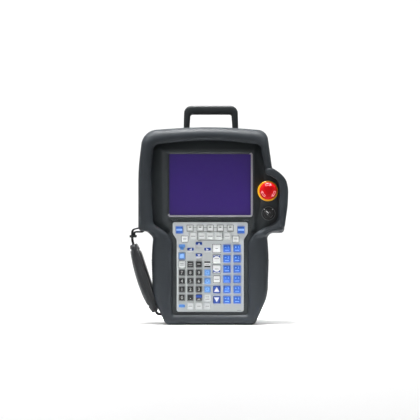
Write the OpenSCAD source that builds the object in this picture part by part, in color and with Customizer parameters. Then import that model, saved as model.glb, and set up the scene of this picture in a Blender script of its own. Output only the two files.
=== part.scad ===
// Teach pendant: a two-shell handheld console with screen, keypad, stop button,
// enable switch, two enabling paddles on the back, a carrying handle and a hand strap.
// Millimetres, +Z up, front towards -Y, origin at the middle of the flat base.

/* [Body outline] */
// Half width of the flat base
base_half = 71.5; // [64:0.5:76]
// Half width low on the grips
grip_low_half = 92; // [88:0.5:94]
// Height at which the grips reach that width
grip_low_z = 45; // [38:1:58]
// Half width of the grips at their fullest
grip_half = 94.2; // [92:0.2:98]
// Height of the fullest part of the grips
grip_z = 112; // [104:1:116]
// Half width of the neck under the head
neck_half = 91.6; // [89:0.2:93]
// How far the fillet reaches from the neck to the head's underside
neck_fillet = 6; // [4.6:0.2:8]
// Height of the head's underside
head_bottom_z = 147; // [145:0.5:149]
// Height of the head's underside on the left, over the hand strap
strap_side_z = 150; // [148:0.5:152]
// Share of the overhang there that its fillet takes
strap_fillet = 0.42; // [0.3:0.01:0.46]
// Reach of the head's left side
head_left = 115.5; // [113:0.5:118]
// Height where the left side starts to lean in
head_lean_z = 250; // [235:1:262]
// Left corner of the head's top
head_top_left = 108; // [105:0.5:110]
// Right corner of the head's top
head_top_right = 91; // [89:0.5:94]
// Height of those two corners
head_shoulder_z = 311.6; // [309:0.2:314]
// Height of the peak that the arched top hangs from
head_peak_z = 319; // [317:0.5:322]
// Lower right corner of the head, under the enable switch
guard_foot = 118.5; // [116.5:0.5:121]
// Outer corner of the stop button's guard
guard_right = 125.4; // [124:0.2:127]
// Height of that corner
guard_shoulder_z = 232.6; // [230:0.5:236]
// Where the guard runs into the head's side
guard_top_x = 99.4; // [98.4:0.2:101]
// Height of that place
guard_top_z = 251.5; // [249:0.5:254]

/* [Shells] */
// Thickness of the moulded walls
wall = 2.8; // [2.4:0.1:3.2]
// Height of the front rim above the parting plane, at the head
rim_h = 30; // [28:0.5:33]
// The same at the grips beside the keypad
grip_rim_h = 25; // [23.5:0.5:27]
// The same at the guard
guard_h = 34; // [31:0.5:36]
// Straight part of the side before the front rounding starts
edge_h = 14; // [12:0.5:16]
// Front face of the seat that the front panels lie on
seat_h = 14.5; // [13.5:0.1:15.5]
// Width of that seat
seat_w = 5.5; // [4.8:0.1:6]
// Thickness of that seat
seat_t = 2.5; // [2:0.1:3]
// Depth of the rear shell behind the parting plane
rear_d = 31; // [29:0.5:33]
// Straight part of the side before the rear rounding starts
rear_edge_d = 16; // [14:0.5:18]
// Width and depth of the small groove along the parting line
part_line = 0.5; // [0.3:0.1:0.8]
// Distance of the gasket's groove from the outside
groove_in = 1.15; // [1:0.05:1.2]
// Width of that groove
groove_w = 0.95; // [0.8:0.05:1]
// Gap between parts that are laid into each other
fit = 0.3; // [0.2:0.05:0.4]
// Radial play of turning and sliding parts
play = 0.06; // [0.04:0.01:0.09]

/* [Rear cover] */
// Half width of the opening behind the electronics
bay_half = 48; // [44:1:50]
// Lower edge of the opening
bay_low_z = 126; // [122:1:134]
// Upper edge of the opening
bay_high_z = 280; // [272:1:284]
// How far the cover reaches over the opening's edge
cover_lap = 9; // [8:0.5:10]
// Depth of the cover behind the rear shell
cover_d = 25; // [24:0.5:28]
// Wall of the cover
cover_wall = 2.4; // [2:0.1:2.8]

/* [Screen] */
// Width of the visible screen
screen_w = 130.6; // [124:0.2:134]
// Height of the visible screen
screen_h = 97.8; // [92:0.2:100]
// Height of the screen's middle
screen_z = 224.6; // [223:0.2:226]
// Width of the sloping frame round the screen
bevel_w = 3.2; // [2:0.1:4]
// Thickness of the window pane
pane_t = 2.5; // [2:0.1:3]
// Thickness of the front panels
panel_t = 3; // [2.8:0.1:3.4]
// How far the field round the screen stands proud
field_t = 1; // [0.6:0.1:1.4]
// Thickness of the display module
lcd_t = 9; // [7:0.5:9.5]

/* [Keypad] */
// Half width of the overlay beside the keys
overlay_half = 53.5; // [51.5:0.2:55]
// Half width of the overlay's flared top
overlay_top_half = 59.9; // [58.4:0.2:61]
// Lower edge of the overlay
overlay_low_z = 21.1; // [19.5:0.1:22.5]
// Upper edge of the overlay
overlay_high_z = 164.3; // [163:0.1:165.5]
// Where the flared top starts to narrow
flare_z = 146.7; // [145.5:0.1:148]
// Where it has narrowed
waist_z = 136.8; // [135:0.1:138]
// Width of the frame beside the overlay
frame_w = 7.9; // [7:0.1:8.4]
// Width of the frame under the overlay
frame_low_w = 5.6; // [5:0.1:6.4]
// Thickness of the overlay sheet
overlay_t = 0.7; // [0.5:0.1:1]
// How far the keys stand proud of the overlay
key_rise = 0.8; // [0.5:0.1:1.2]
// Side of a small key
small_key = 10.4; // [9:0.1:11.4]
// Side of a large key
large_key = 12.5; // [11:0.1:13.6]

/* [Stop button] */
// Stop button, right of the centre line
estop_x = 92.3; // [91.4:0.1:92.6]
// Stop button, height
estop_z = 214.4; // [212:0.2:216]
// Radius of the yellow collar
collar_r = 16.3; // [15:0.1:16.6]
// Thickness of the collar
collar_t = 2.6; // [2:0.1:3.2]
// Radius of the red mushroom head
mushroom_r = 14; // [13:0.1:14.6]
// Height of the mushroom head
mushroom_h = 13.6; // [12:0.1:15]
// Radius of the barrel above the panel
barrel_top_r = 11.4; // [10.5:0.1:11.6]
// Radius of the threaded barrel
barrel_r = 8; // [7.4:0.1:8.4]
// Radius of the stem
stem_r = 3.5; // [3:0.1:3.8]
// Travel of the stop button
estop_travel = 4; // [3:0.1:4.2]

/* [Enable switch] */
// Enable switch, right of the centre line
enable_x = 93.3; // [92:0.1:94]
// Enable switch, height
enable_z = 178.4; // [177.4:0.1:180]
// Radius of its ring
enable_ring_r = 11; // [10:0.1:11.4]
// Radius of its knob
knob_r = 7.6; // [7:0.1:8.4]
// Height of its knob
knob_h = 8; // [6:0.1:10]

/* [Enabling paddles] */
// Inner edge of the paddle pockets, from the centre line
pocket_in = 62; // [61:0.5:63]
// Outer edge of the paddle pockets
pocket_out = 90; // [89:0.5:91]
// Lower end of the pockets
pocket_low_z = 168; // [166:0.5:172]
// Upper end of the pockets
pocket_high_z = 250; // [244:0.5:252]
// Depth left under the pocket floor, from the parting plane
pocket_floor = 25; // [24.5:0.1:25.2]
// Radius of the hinge pins
hinge_pin_r = 1.5; // [1.2:0.1:1.7]
// Travel of a paddle in degrees
paddle_swing = 13; // [10:0.5:14]
// Radius of the plunger that a paddle presses
plunger_r = 2.6; // [2.2:0.1:2.8]

/* [Handle] */
// Middle of the handle
handle_x = 1.2; // [-2:0.2:3]
// Half width of the handle
handle_half = 44.4; // [42:0.2:47]
// Height of the handle's top
handle_top_z = 353.5; // [348:0.5:360]
// Thickness of the top bar
handle_bar = 14.4; // [12:0.2:16]
// Width of a leg
handle_leg = 9.6; // [9:0.2:11]
// Depth of the handle, front to back
handle_d = 16; // [14:0.5:17]
// Distance of the handle's middle behind the parting plane
handle_y = 13.5; // [12:0.5:14]
// Lower end of the legs
handle_low_z = 293; // [291:0.5:295]

/* [Hand strap] */
// Width of the pad, front to back
pad_w = 48; // [40:1:54]
// Thickness of the pad
pad_t = 15; // [12:0.5:16]
// Width of the webbing
webbing_w = 25; // [20:0.5:27]
// Thickness of the webbing
webbing_t = 2.4; // [1.8:0.1:2.8]
// Distance of the strap's middle behind the parting plane
strap_y = 1; // [-1:0.5:3]

/* [Cable inlet] */
// Radius of the connector's shell
inlet_r = 9; // [8:0.1:9.4]
// Wall of the shell
inlet_wall = 1.5; // [1.2:0.1:1.8]
// Length of the shell under its flange
inlet_l = 13; // [10:0.5:16]
// Distance of the inlet behind the parting plane
inlet_y = 44; // [43.4:0.1:44.6]

/* [Hidden] */

// How far the head's underside reaches past its fillets
strap_side_fillet = strap_fillet * (head_left - neck_half);
strap_overhang = head_left - neck_half - strap_side_fillet;
guard_overhang = guard_foot - neck_half - neck_fillet;

// A corner is [x, z, reach of its rounding along both sides, steps of the rounding, rim height].
body = [
  [base_half, 0, 6, 6, grip_rim_h],
  [grip_low_half, grip_low_z, 14, 3, grip_rim_h],
  [grip_half, grip_z, 16, 2, grip_rim_h],
  [neck_half, head_bottom_z - neck_fillet, 3.6, 4, grip_rim_h],
  [neck_half + neck_fillet, head_bottom_z, 0.17 * guard_overhang, 4, rim_h],
  [guard_foot, head_bottom_z, 0.29 * guard_overhang, 6, guard_h],
  [guard_right, guard_shoulder_z, 15, 8, guard_h],
  [guard_top_x, guard_top_z, 3, 4, rim_h],
  [head_top_right, head_shoulder_z, 14, 8, rim_h],
  [0, head_peak_z, 55, 5, rim_h],
  [-head_top_left, head_shoulder_z, 22, 8, rim_h],
  [-head_left, head_lean_z, 20, 3, rim_h],
  [-head_left, strap_side_z, 0.5 * strap_overhang, 6, rim_h - 1],
  [-neck_half - strap_side_fillet, strap_side_z, 0.38 * strap_overhang, 4, rim_h - 2],
  [-neck_half, strap_side_z - strap_side_fillet, 0.38 * strap_side_fillet, 4, grip_rim_h + 1],
  [-grip_half, grip_z, 16, 2, grip_rim_h],
  [-grip_low_half, grip_low_z, 14, 3, grip_rim_h],
  [-base_half, 0, 6, 6, grip_rim_h]
];

// Inner edge of the rim, corner for corner with the body outline.
field_half = overlay_half + frame_w;
field_low_z = overlay_low_z - frame_low_w;
seam_z = flare_z + 0.8;
guard_in = estop_x + collar_r + 0.9;
field = [
  [field_half, field_low_z, 6, 6, grip_rim_h],
  [field_half, grip_low_z, 8, 3, grip_rim_h],
  [field_half, grip_z - 6, 8, 2, grip_rim_h],
  [field_half, waist_z - 3.8, 5, 4, grip_rim_h],
  [field_half + 12, seam_z + 0.6, 6, 4, rim_h],
  [guard_in - 0.8, seam_z + 19, 9, 6, guard_h],
  [guard_in, estop_z + 21.2, 16.6, 8, guard_h],
  [guard_in - 20, estop_z + 26.2, 3, 4, rim_h],
  [80.5, 289.2, 7, 8, rim_h],
  [-4, 299.4, 55, 5, rim_h],
  [-90.5, 289.2, 9, 8, rim_h],
  [-95.4, 243, 15, 3, rim_h],
  [-91.5, seam_z + 14, 6, 6, rim_h - 1],
  [-field_half - 8.6, seam_z, 5, 4, rim_h - 2],
  [-field_half, waist_z - 2.8, 5, 4, grip_rim_h + 1],
  [-field_half, grip_z - 6, 8, 2, grip_rim_h],
  [-field_half, grip_low_z, 8, 3, grip_rim_h],
  [-field_half, field_low_z, 6, 6, grip_rim_h]
];

// Opening in the rear shell, corner for corner with the body outline.
bay_mid_z = (bay_low_z + bay_high_z) / 2;
bay_steps = (bay_high_z - bay_low_z) / 8;
bay = [
  [bay_half, bay_low_z, 6, 6, 0],
  [bay_half, bay_low_z + bay_steps, 3, 3, 0],
  [bay_half, bay_low_z + 2 * bay_steps, 3, 2, 0],
  [bay_half, bay_low_z + 3 * bay_steps, 3, 4, 0],
  [bay_half, bay_low_z + 4 * bay_steps, 3, 4, 0],
  [bay_half, bay_low_z + 5 * bay_steps, 3, 6, 0],
  [bay_half, bay_low_z + 6 * bay_steps, 3, 8, 0],
  [bay_half, bay_low_z + 7 * bay_steps, 3, 4, 0],
  [bay_half, bay_high_z, 6, 8, 0],
  [0, bay_high_z, 20, 5, 0],
  [-bay_half, bay_high_z, 6, 8, 0],
  [-bay_half, bay_low_z + 6 * bay_steps, 6, 3, 0],
  [-bay_half, bay_low_z + 5 * bay_steps, 3, 6, 0],
  [-bay_half, bay_low_z + 4 * bay_steps, 3, 4, 0],
  [-bay_half, bay_low_z + 3 * bay_steps, 3, 4, 0],
  [-bay_half, bay_low_z + 2 * bay_steps, 3, 2, 0],
  [-bay_half, bay_low_z + bay_steps, 3, 3, 0],
  [-bay_half, bay_low_z, 6, 6, 0]
];

overlay = [
  [overlay_half, overlay_low_z, 3, 3, 0],
  [overlay_half, waist_z, 2, 2, 0],
  [overlay_top_half, flare_z, 2, 2, 0],
  [overlay_top_half, overlay_high_z, 3, 3, 0],
  [-overlay_top_half, overlay_high_z, 3, 3, 0],
  [-overlay_top_half, flare_z, 2, 2, 0],
  [-overlay_half, waist_z, 2, 2, 0],
  [-overlay_half, overlay_low_z, 3, 3, 0]
];

function spot(c) = [c[0], c[1]];
function unit(v) = v / norm(v);
// Direction of the side that leaves corner i
function side(cs, i) = unit(spot(cs[(i + 1) % len(cs)]) - spot(cs[i]));
function inward(d) = [-d[1], d[0]];
function mix(a, b, t) = a * (1 - t) + b * t;

// The outline with every side moved in by d, and its roundings fitted to that
function inset(cs, d) = [
  for (i = [0 : len(cs) - 1])
    let (
      a = side(cs, (i + len(cs) - 1) % len(cs)),
      b = side(cs, i),
      shift = d * (inward(a) + inward(b)) / (1 + a * b),
      half_tan = (a[0] * b[1] - a[1] * b[0]) / (1 + a * b)
    )
    [
      cs[i][0] + shift[0],
      cs[i][1] + shift[1],
      max(0.4, cs[i][2] - d * half_tan),
      cs[i][3],
      cs[i][4]
    ]
];

// The outline a share t of the way from one list of corners to another
function between(cs, ds, t) = [
  for (i = [0 : len(cs) - 1])
    [for (k = [0 : 4]) k == 3 ? cs[i][3] : mix(cs[i][k], ds[i][k], t)]
];

// The arc that rounds corner p between the directions a (in) and b (out)
function corner_arc(p, a, b, reach, steps) =
  let (p0 = p - a * reach, p2 = p + b * reach, weight = sqrt((1 + a * b) / 2))
  [
    for (k = [0 : steps])
      let (u = k / steps, e0 = (1 - u) * (1 - u), e1 = 2 * u * (1 - u) * weight, e2 = u * u)
      (e0 * p0 + e1 * p + e2 * p2) / (e0 + e1 + e2)
  ];

// How often the two roundings on the side after corner i fit on it
function room(cs, i) =
  let (j = (i + 1) % len(cs))
  norm(spot(cs[j]) - spot(cs[i])) / (cs[i][2] + cs[j][2]);
function fitted_reach(cs, i) =
  cs[i][2] * min(1, 0.98 * room(cs, (i + len(cs) - 1) % len(cs)), 0.98 * room(cs, i));

// Points of an outline as [x, z, rim height], each corner a true arc
function outline3(cs) = [
  for (i = [0 : len(cs) - 1])
    let (a = side(cs, (i + len(cs) - 1) % len(cs)), b = side(cs, i))
    for (q = corner_arc(spot(cs[i]), a, b, fitted_reach(cs, i), cs[i][3]))
      [q[0], q[1], cs[i][4]]
];
function outline(cs) = [for (p = outline3(cs)) spot(p)];

// A ring of points in front of the parting plane, at height h plus a share of what the rim adds
function front_ring(cs, h, share) = [
  for (p = outline3(cs)) [p[0], -(h + share * (p[2] - edge_h)), p[1]]
];
function rear_ring(cs, d) = [for (p = outline3(cs)) [p[0], d, p[1]]];

// Corners of a rectangle with rounded corners
function box_corners(x0, z0, x1, z1, reach, steps) = [
  [x1, z0, reach, steps, 0],
  [x1, z1, reach, steps, 0],
  [x0, z1, reach, steps, 0],
  [x0, z0, reach, steps, 0]
];

// Skin over a stack of rings of equal length, each counterclockwise seen from where the stack ends.
// A closed one joins its last ring to its first.
module loft(rings, closed = false) {
  n = len(rings[0]);
  m = len(rings);
  points = [for (r = rings) for (p = r) p];
  sides = [
    for (j = [0 : m - (closed ? 1 : 2)])
      for (i = [0 : n - 1])
        let (
          a = j * n + i,
          b = j * n + (i + 1) % n,
          c = ((j + 1) % m) * n + (i + 1) % n,
          d = ((j + 1) % m) * n + i
        )
        each [[a, c, b], [a, d, c]]
  ];
  ends = closed
    ? []
    : [[for (i = [0 : n - 1]) i], [for (i = [n - 1 : -1 : 0]) (m - 1) * n + i]];
  polyhedron(points, concat(sides, ends));
}

// A flat piece drawn in X and Z, between two heights in front of the parting plane
module slab(h0, h1) {
  rotate([90, 0, 0])
    translate([0, 0, h0])
      linear_extrude(h1 - h0)
        children();
}

// A round piece along Y, between two heights in front of the parting plane
module rod(x, z, r, h0, h1) {
  rotate([90, 0, 0])
    translate([x, z, h0])
      cylinder(r = r, h = h1 - h0, $fn = 48);
}

module tube(x, z, r, bore, h0, h1) {
  difference() {
    rod(x, z, r, h0, h1);
    rod(x, z, bore, h0 - 1, h1 + 1);
  }
}

// A hexagon along Y
module hex_rod(x, z, r, h0, h1) {
  rotate([90, 0, 0])
    translate([x, z, h0])
      cylinder(r = r, h = h1 - h0, $fn = 6);
}

// A screw along Y: its head lies behind height h, its shank goes to the front
module screw(x, z, shank_r, head_r, head_t, h, length) {
  difference() {
    union() {
      rod(x, z, head_r, h - head_t, h);
      rod(x, z, shank_r, h - 0.5, h + length);
    }
    hex_rod(x, z, head_r * 0.5, h - head_t - 1, h - head_t * 0.4);
  }
}

module box(x0, x1, y0, y1, z0, z1) {
  translate([x0, y0, z0])
    cube([x1 - x0, y1 - y0, z1 - z0]);
}

// A coil spring along +Z, its ends open
module coil(mean_r, wire_r, pitch, turns) {
  per_turn = 10;
  rise = [0, 0, pitch / 2 / PI / mean_r];
  loft([
    for (k = [0 : turns * per_turn])
      let (
        a = 360 * k / per_turn,
        out = [cos(a), sin(a), 0],
        along = unit([-sin(a), cos(a), 0] + rise),
        over = cross(along, out)
      )
      [
        for (s = [0 : 4])
          out * mean_r + [0, 0, pitch * k / per_turn]
            + wire_r * (cos(72 * s) * out + sin(72 * s) * over)
      ]
  ]);
}

// ---- Places shared by several pieces ----

panel_front = seat_h + panel_t;
field_front = panel_front + field_t;
pane_front = panel_front - 1.5;
pane_back = pane_front - pane_t;
seal_t = 1;
lcd_front = pane_back - seal_t;
lcd_back = lcd_front - lcd_t;
bracket_t = 1.5;
bracket_back = lcd_back - bracket_t;
board_front = bracket_back - 8;
board_t = 1.6;
lcd_w = screen_w + 20;
lcd_h = screen_h + 14;
lcd_x = -3.5;
lcd_left = lcd_x - lcd_w / 2;
lcd_right = lcd_x + lcd_w / 2;
post_r = 2.8;
post_spots = [
  for (x = [lcd_left - post_r - 0.8, lcd_right + post_r + 0.8])
    for (z = [screen_z - 32, screen_z + 30])
      [x, z]
];
board_half = 62;
board_low_z = 152;
board_high_z = 274;
board_spots = [
  for (x = [-board_half + 5, board_half - 5])
    for (z = [board_low_z + 5, board_high_z - 5])
      [x, z]
];

overlay_front = panel_front - 0.2;
overlay_back = overlay_front - overlay_t;
dome_t = 0.5;
membrane_t = 0.8;
plate_front = overlay_back - dome_t - membrane_t;
plate_back = seat_h - 1.6;
tab_half = overlay_top_half + 3.3;
tab_high_z = overlay_high_z + 3.3;

// Screws through the seat into the front panels
panel_screw_r = 1.3;
display_screw_spots = [
  [-91.2, 225], [-88.2, 275], [-45, 290.6], [40, 290.1], [81.5, 262], [-78, 157.3], [84, 158.6]
];
frame_screw_spots = [
  for (s = [-1, 1])
    for (z = [field_low_z + 12.5, grip_low_z + 23, grip_z - 4])
      [s * (field_half - seat_w / 2), z]
];
plate_screw_spots = [
  for (s = [-1, 1])
    for (z = [overlay_high_z + 1.6])
      [s * (tab_half - 10), z]
];

// Screws that hold the two shells together, with the rim's height over each
case_screw_r = 1.5;
case_boss_r = 4;
grip_boss_z = grip_z - 6;
grip_boss_x = grip_x(grip_boss_z) - 16.4;
case_spots = [
  [base_half + 4.5, 30, grip_rim_h], [-base_half - 4.5, 30, grip_rim_h],
  [grip_boss_x, grip_boss_z, grip_rim_h], [-grip_boss_x, grip_boss_z, grip_rim_h],
  [guard_foot - 9.5, head_bottom_z + 8.5, rim_h + 2.6],
  [-head_left + 8.6, strap_side_z + 18, rim_h - 1.4],
  [head_top_right - 8, head_shoulder_z - 13, rim_h], [-head_top_left + 12.8, head_shoulder_z - 14.4, rim_h]
];

// Rings of the crowned front: [share of the way from the outside to the field, height, share of the rim]
front_profile = [
  [0.03, edge_h, 0.28], [0.09, edge_h, 0.55], [0.17, edge_h, 0.77], [0.27, edge_h, 0.91],
  [0.42, edge_h, 1], [0.66, edge_h, 0.97], [0.86, edge_h, 0.86], [1, edge_h, 0.7]
];
inner_profile = [
  [1, edge_h, 0.62], [0.8, edge_h, 0.84], [0.45, edge_h, 1], [0.2, edge_h, 0.84], [0.05, edge_h, 0.36]
];
wall_body = inset(body, wall);
field_out = inset(field, -wall);

module front_skin() {
  loft(concat(
    [front_ring(inset(body, part_line), 0, 0)],
    [front_ring(body, part_line, 0)],
    [front_ring(body, edge_h, 0)],
    [for (f = front_profile) front_ring(between(body, field, f[0]), f[1], f[2])],
    [front_ring(inset(field, 0.4), seat_h, 0)],
    [front_ring(inset(field, seat_w), seat_h, 0)],
    [front_ring(inset(field, seat_w), seat_h - seat_t, 0)],
    [front_ring(field_out, seat_h - seat_t, 0)],
    [for (f = inner_profile) front_ring(between(wall_body, field_out, f[0]), f[1] - wall, f[2])],
    [front_ring(wall_body, edge_h - wall, 0)],
    [front_ring(wall_body, 0, 0)]
  ), closed = true);
}

// Channels for the ribbed strips, cut across the parting line
rib_w = 15;
rib_t = 0.7;
rib_lean = atan((grip_half - grip_low_half) / (grip_z - grip_low_z));
rib_low_z = grip_low_z + 9;
rib_high_z = grip_z - 7;
function grip_x(z) = mix(grip_low_half, grip_half, (z - grip_low_z) / (grip_z - grip_low_z));

// A block along the straight part of a grip's side, from depth a under its surface to b
module grip_block(s, a, b, half_w, z0, z1) {
  mirror([s < 0 ? 1 : 0, 0, 0])
    translate([grip_x(z0), 0, z0])
      rotate([0, rib_lean, 0])
        translate([-b, -half_w, 0])
          cube([b - a, 2 * half_w, (z1 - z0) / cos(rib_lean)]);
}

module rib_channels() {
  for (s = [-1, 1])
    grip_block(s, -5, rib_t + fit / 2, rib_w / 2 + fit, rib_low_z - fit, rib_high_z + fit);
}

module rib_beds() {
  for (s = [-1, 1])
    grip_block(s, 0.6, rib_t + 2.6, rib_w / 2 + 2.4, rib_low_z - 2.4, rib_high_z + 2.4);
}

// Solid blocks inside the shells where the strap's ends are held, and what is cut from them
bar_r = 2;
// Middle of the webbing round the bar, and its outside
loop_r = bar_r + 0.3 + webbing_t / 2;
loop_out_r = loop_r + webbing_t / 2;
anchor_x = -head_left + 0.36 * strap_overhang;
bar_z = strap_side_z + 2.2;
bar_half = webbing_w / 2 + 5;
notch_half = webbing_w / 2 + 1;
notch_in_x = anchor_x + loop_out_r + 1.3;
notch_high_z = bar_z + loop_out_r + 1.3;
lower_slot_z = 15.5;
lower_bed_x = -base_half + 1.8;
lower_plate_t = 5.8;
lower_plate_h = 9.4;
lower_pocket_half = webbing_w / 2 + 2.8;
module strap_beds() {
  slab(-bar_half - strap_y - 2, bar_half - strap_y + 2)
    intersection() {
      polygon(outline(inset(body, 1)));
      translate([-head_left, strap_side_z])
        square([notch_in_x + head_left + wall, notch_high_z - strap_side_z + wall]);
    }
  box(lower_bed_x - 3, -field_half - 0.8, strap_y - webbing_w / 2 - 5.5, strap_y + webbing_w / 2 + 5.5,
    lower_slot_z - 9, lower_slot_z + 9);
}

module strap_wells() {
  box(-head_left - 5, notch_in_x, strap_y - notch_half, strap_y + notch_half,
    strap_side_z - 5, notch_high_z);
  rod(anchor_x, bar_z, bar_r + 0.05, -strap_y - bar_half - 0.2, -strap_y + bar_half + 0.2);
  box(-grip_low_half, lower_bed_x + 1, strap_y - webbing_w / 2 - 0.4, strap_y + webbing_w / 2 + 0.4,
    lower_slot_z - webbing_t / 2 - fit, lower_slot_z + webbing_t / 2 + fit);
  box(lower_bed_x, lower_bed_x + lower_plate_t + 2 * fit,
    strap_y - lower_pocket_half, strap_y + lower_pocket_half,
    lower_slot_z - lower_plate_h / 2 - fit, lower_slot_z + lower_plate_h / 2 + fit);
}

// Larger than the whole part in every direction
beyond = 400;
module front_half() {
  box(-beyond, beyond, -beyond, 0, -beyond, beyond);
}

// A tongue of the rear shell laps over the parting line at the middle of the base
tongue_half = 16;
tongue_d = 6;
tongue_t = groove_in - 0.05;
module foot_tongue(grow) {
  box(-tongue_half - grow, tongue_half + grow, -tongue_d - grow, 1, grow > 0 ? -1 : 0, tongue_t + grow);
}

module front_housing() {
  color("#34383b")
    difference() {
      union() {
        front_skin();
        intersection() {
          rib_beds();
          front_half();
        }
        intersection() {
          strap_beds();
          front_half();
        }
        for (p = case_spots)
          rod(p[0], p[1], case_boss_r, 0, p[2] - wall * 0.7);
      }
      rib_channels();
      strap_wells();
      foot_tongue(0.15);
      for (p = case_spots)
        rod(p[0], p[1], case_screw_r + 0.05, -1, 13);
      for (p = concat(display_screw_spots, frame_screw_spots))
        rod(p[0], p[1], panel_screw_r + 0.2, seat_h - seat_t - 1, seat_h + 1);
    }
}

// Rings of the rear shell: [inset, share of the way to the bay, depth]
rear_profile = [
  [0.9, 0, 0.3], [2.6, 0, 0.56], [5.2, 0, 0.78], [9, 0, 0.92], [9, 0.3, 1], [9, 1, 1]
];
inner_rear_profile = [
  [7, 1, 1], [7, 0.3, 1], [7, 0, 0.9], [4, 0, 0.72], [1.6, 0, 0.44]
];
function rear_depth(share) = rear_edge_d + share * (rear_d - rear_edge_d);

module rear_skin() {
  mirror([0, 1, 0])
    loft(concat(
      [front_ring(inset(body, part_line), 0, 0)],
      [front_ring(body, part_line, 0)],
      [front_ring(body, rear_edge_d, 0)],
      [for (f = rear_profile) front_ring(between(inset(body, f[0]), bay, f[1]), rear_depth(f[2]), 0)],
      [for (f = inner_rear_profile)
        front_ring(between(inset(wall_body, f[0]), bay, f[1]), rear_depth(f[2]) - wall, 0)],
      [front_ring(wall_body, rear_edge_d - wall / 2, 0)],
      [front_ring(wall_body, 0, 0)]
    ), closed = true);
}

hinge_x = pocket_in + 4;
hinge_y = pocket_floor + 3;
barrel_hinge_r = 2.7;
pocket_wall = 2.4;
hinge_low_z = pocket_low_z + 0.4;
hinge_high_z = pocket_high_z - 0.4;
plunger_x = (pocket_in + pocket_out) / 2;
plunger_z = (pocket_low_z + pocket_high_z) / 2;
plunger_hole_r = 4.4;

module pocket_walls(s) {
  mirror([s < 0 ? 1 : 0, 0, 0])
    box(pocket_in - pocket_wall, pocket_out + pocket_wall, pocket_floor - pocket_wall, rear_d - wall / 2,
      pocket_low_z - pocket_wall, pocket_high_z + pocket_wall);
}

module pocket(s) {
  mirror([s < 0 ? 1 : 0, 0, 0]) {
    box(pocket_in, pocket_out, pocket_floor, rear_d + 20, pocket_low_z, pocket_high_z);
    rod(plunger_x, plunger_z, plunger_hole_r, -pocket_floor - 1, -pocket_floor + pocket_wall + 1);
    translate([hinge_x, hinge_y, pocket_low_z - pocket_wall + 0.6])
      cylinder(r = hinge_pin_r + play, h = pocket_high_z - pocket_low_z + 2 * pocket_wall - 1.2, $fn = 48);
  }
}

handle_leg_x = handle_half - handle_leg / 2;
socket_clear = 0.25;
socket_wall = 2.6;

module leg_sockets(grow, z0, z1) {
  half = handle_leg / 2 + grow;
  deep = handle_d / 2 + grow;
  for (s = [-1, 1])
    translate([handle_x + s * handle_leg_x, handle_y, 0])
      box(-half, half, -deep, deep, z0, z1);
}

handle_screw_z = handle_low_z + 7;
// Depth and radius of the recesses over the screws' heads
handle_bore_d = 4;
case_bore_d = 9;
cover_bore_d = 5;
bore_r = 3.1;
cover_screw_in = 14;
cover_screw_spots = [
  for (s = [-1, 1])
    for (z = [bay_low_z + cover_screw_in, bay_mid_z, bay_high_z - cover_screw_in])
      [s * (bay_half + cover_lap / 2), z]
];

module rear_housing() {
  color("#303437")
    difference() {
      union() {
        rear_skin();
        foot_tongue(0);
        difference() {
          union() {
            rib_beds();
            strap_beds();
          }
          front_half();
        }
        for (p = case_spots)
          rod(p[0], p[1], case_boss_r, -rear_d + 3.5, 0);
        pocket_walls(1);
        pocket_walls(-1);
        leg_sockets(socket_wall, handle_low_z - 2.5, head_shoulder_z + 1);
        for (p = cover_screw_spots)
          rod(p[0], p[1], 3, -rear_d + 1, -rear_d + 8);
      }
      rib_channels();
      strap_wells();
      pocket(1);
      pocket(-1);
      leg_sockets(socket_clear, handle_low_z, handle_top_z);
      for (s = [-1, 1])
        rod(handle_x + s * handle_leg_x, handle_screw_z, 1.8, -rear_d - 5, -handle_y);
      for (s = [-1, 1])
        rod(handle_x + s * handle_leg_x, handle_screw_z, 3.6, -rear_d - 5, -rear_d + handle_bore_d);
      for (p = case_spots)
        rod(p[0], p[1], case_screw_r + 0.3, -rear_d - 5, 1);
      for (p = case_spots)
        rod(p[0], p[1], bore_r, -rear_d - 5, -rear_d + case_bore_d);
      for (p = cover_screw_spots)
        rod(p[0], p[1], 1.25, -rear_d - 1, -rear_d + 7);
      slab(-1.2, 1)
        difference() {
          polygon(outline(inset(body, groove_in)));
          polygon(outline(inset(body, groove_in + groove_w)));
        }
    }
}

module housing_gasket() {
  color("#1b1c1d")
    difference() {
      slab(-1.15, 0)
        difference() {
          polygon(outline(inset(body, groove_in + 0.05)));
          polygon(outline(inset(body, groove_in + groove_w - 0.05)));
        }
      strap_wells();
    }
}

// The lofted cover over the electronics bay
cover_foot = box_corners(
  -bay_half - cover_lap, bay_low_z - cover_lap, bay_half + cover_lap, bay_high_z + cover_lap, 12, 6);
plinth_half = inlet_r + 8;
plinth_low_z = bay_low_z - cover_lap - 8;
plinth_high_z = bay_low_z + 5;
inlet_screw_x = inlet_r + 4.4;
// Outline of the inlet's plinth and flange, drawn in X and Y
module inlet_2d(grow) {
  half = plinth_half + grow;
  polygon(outline(box_corners(
    -half, rear_d + 1.5 - grow, half, rear_d + cover_d - 1 + grow, 4 + grow, 4)));
}

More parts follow.
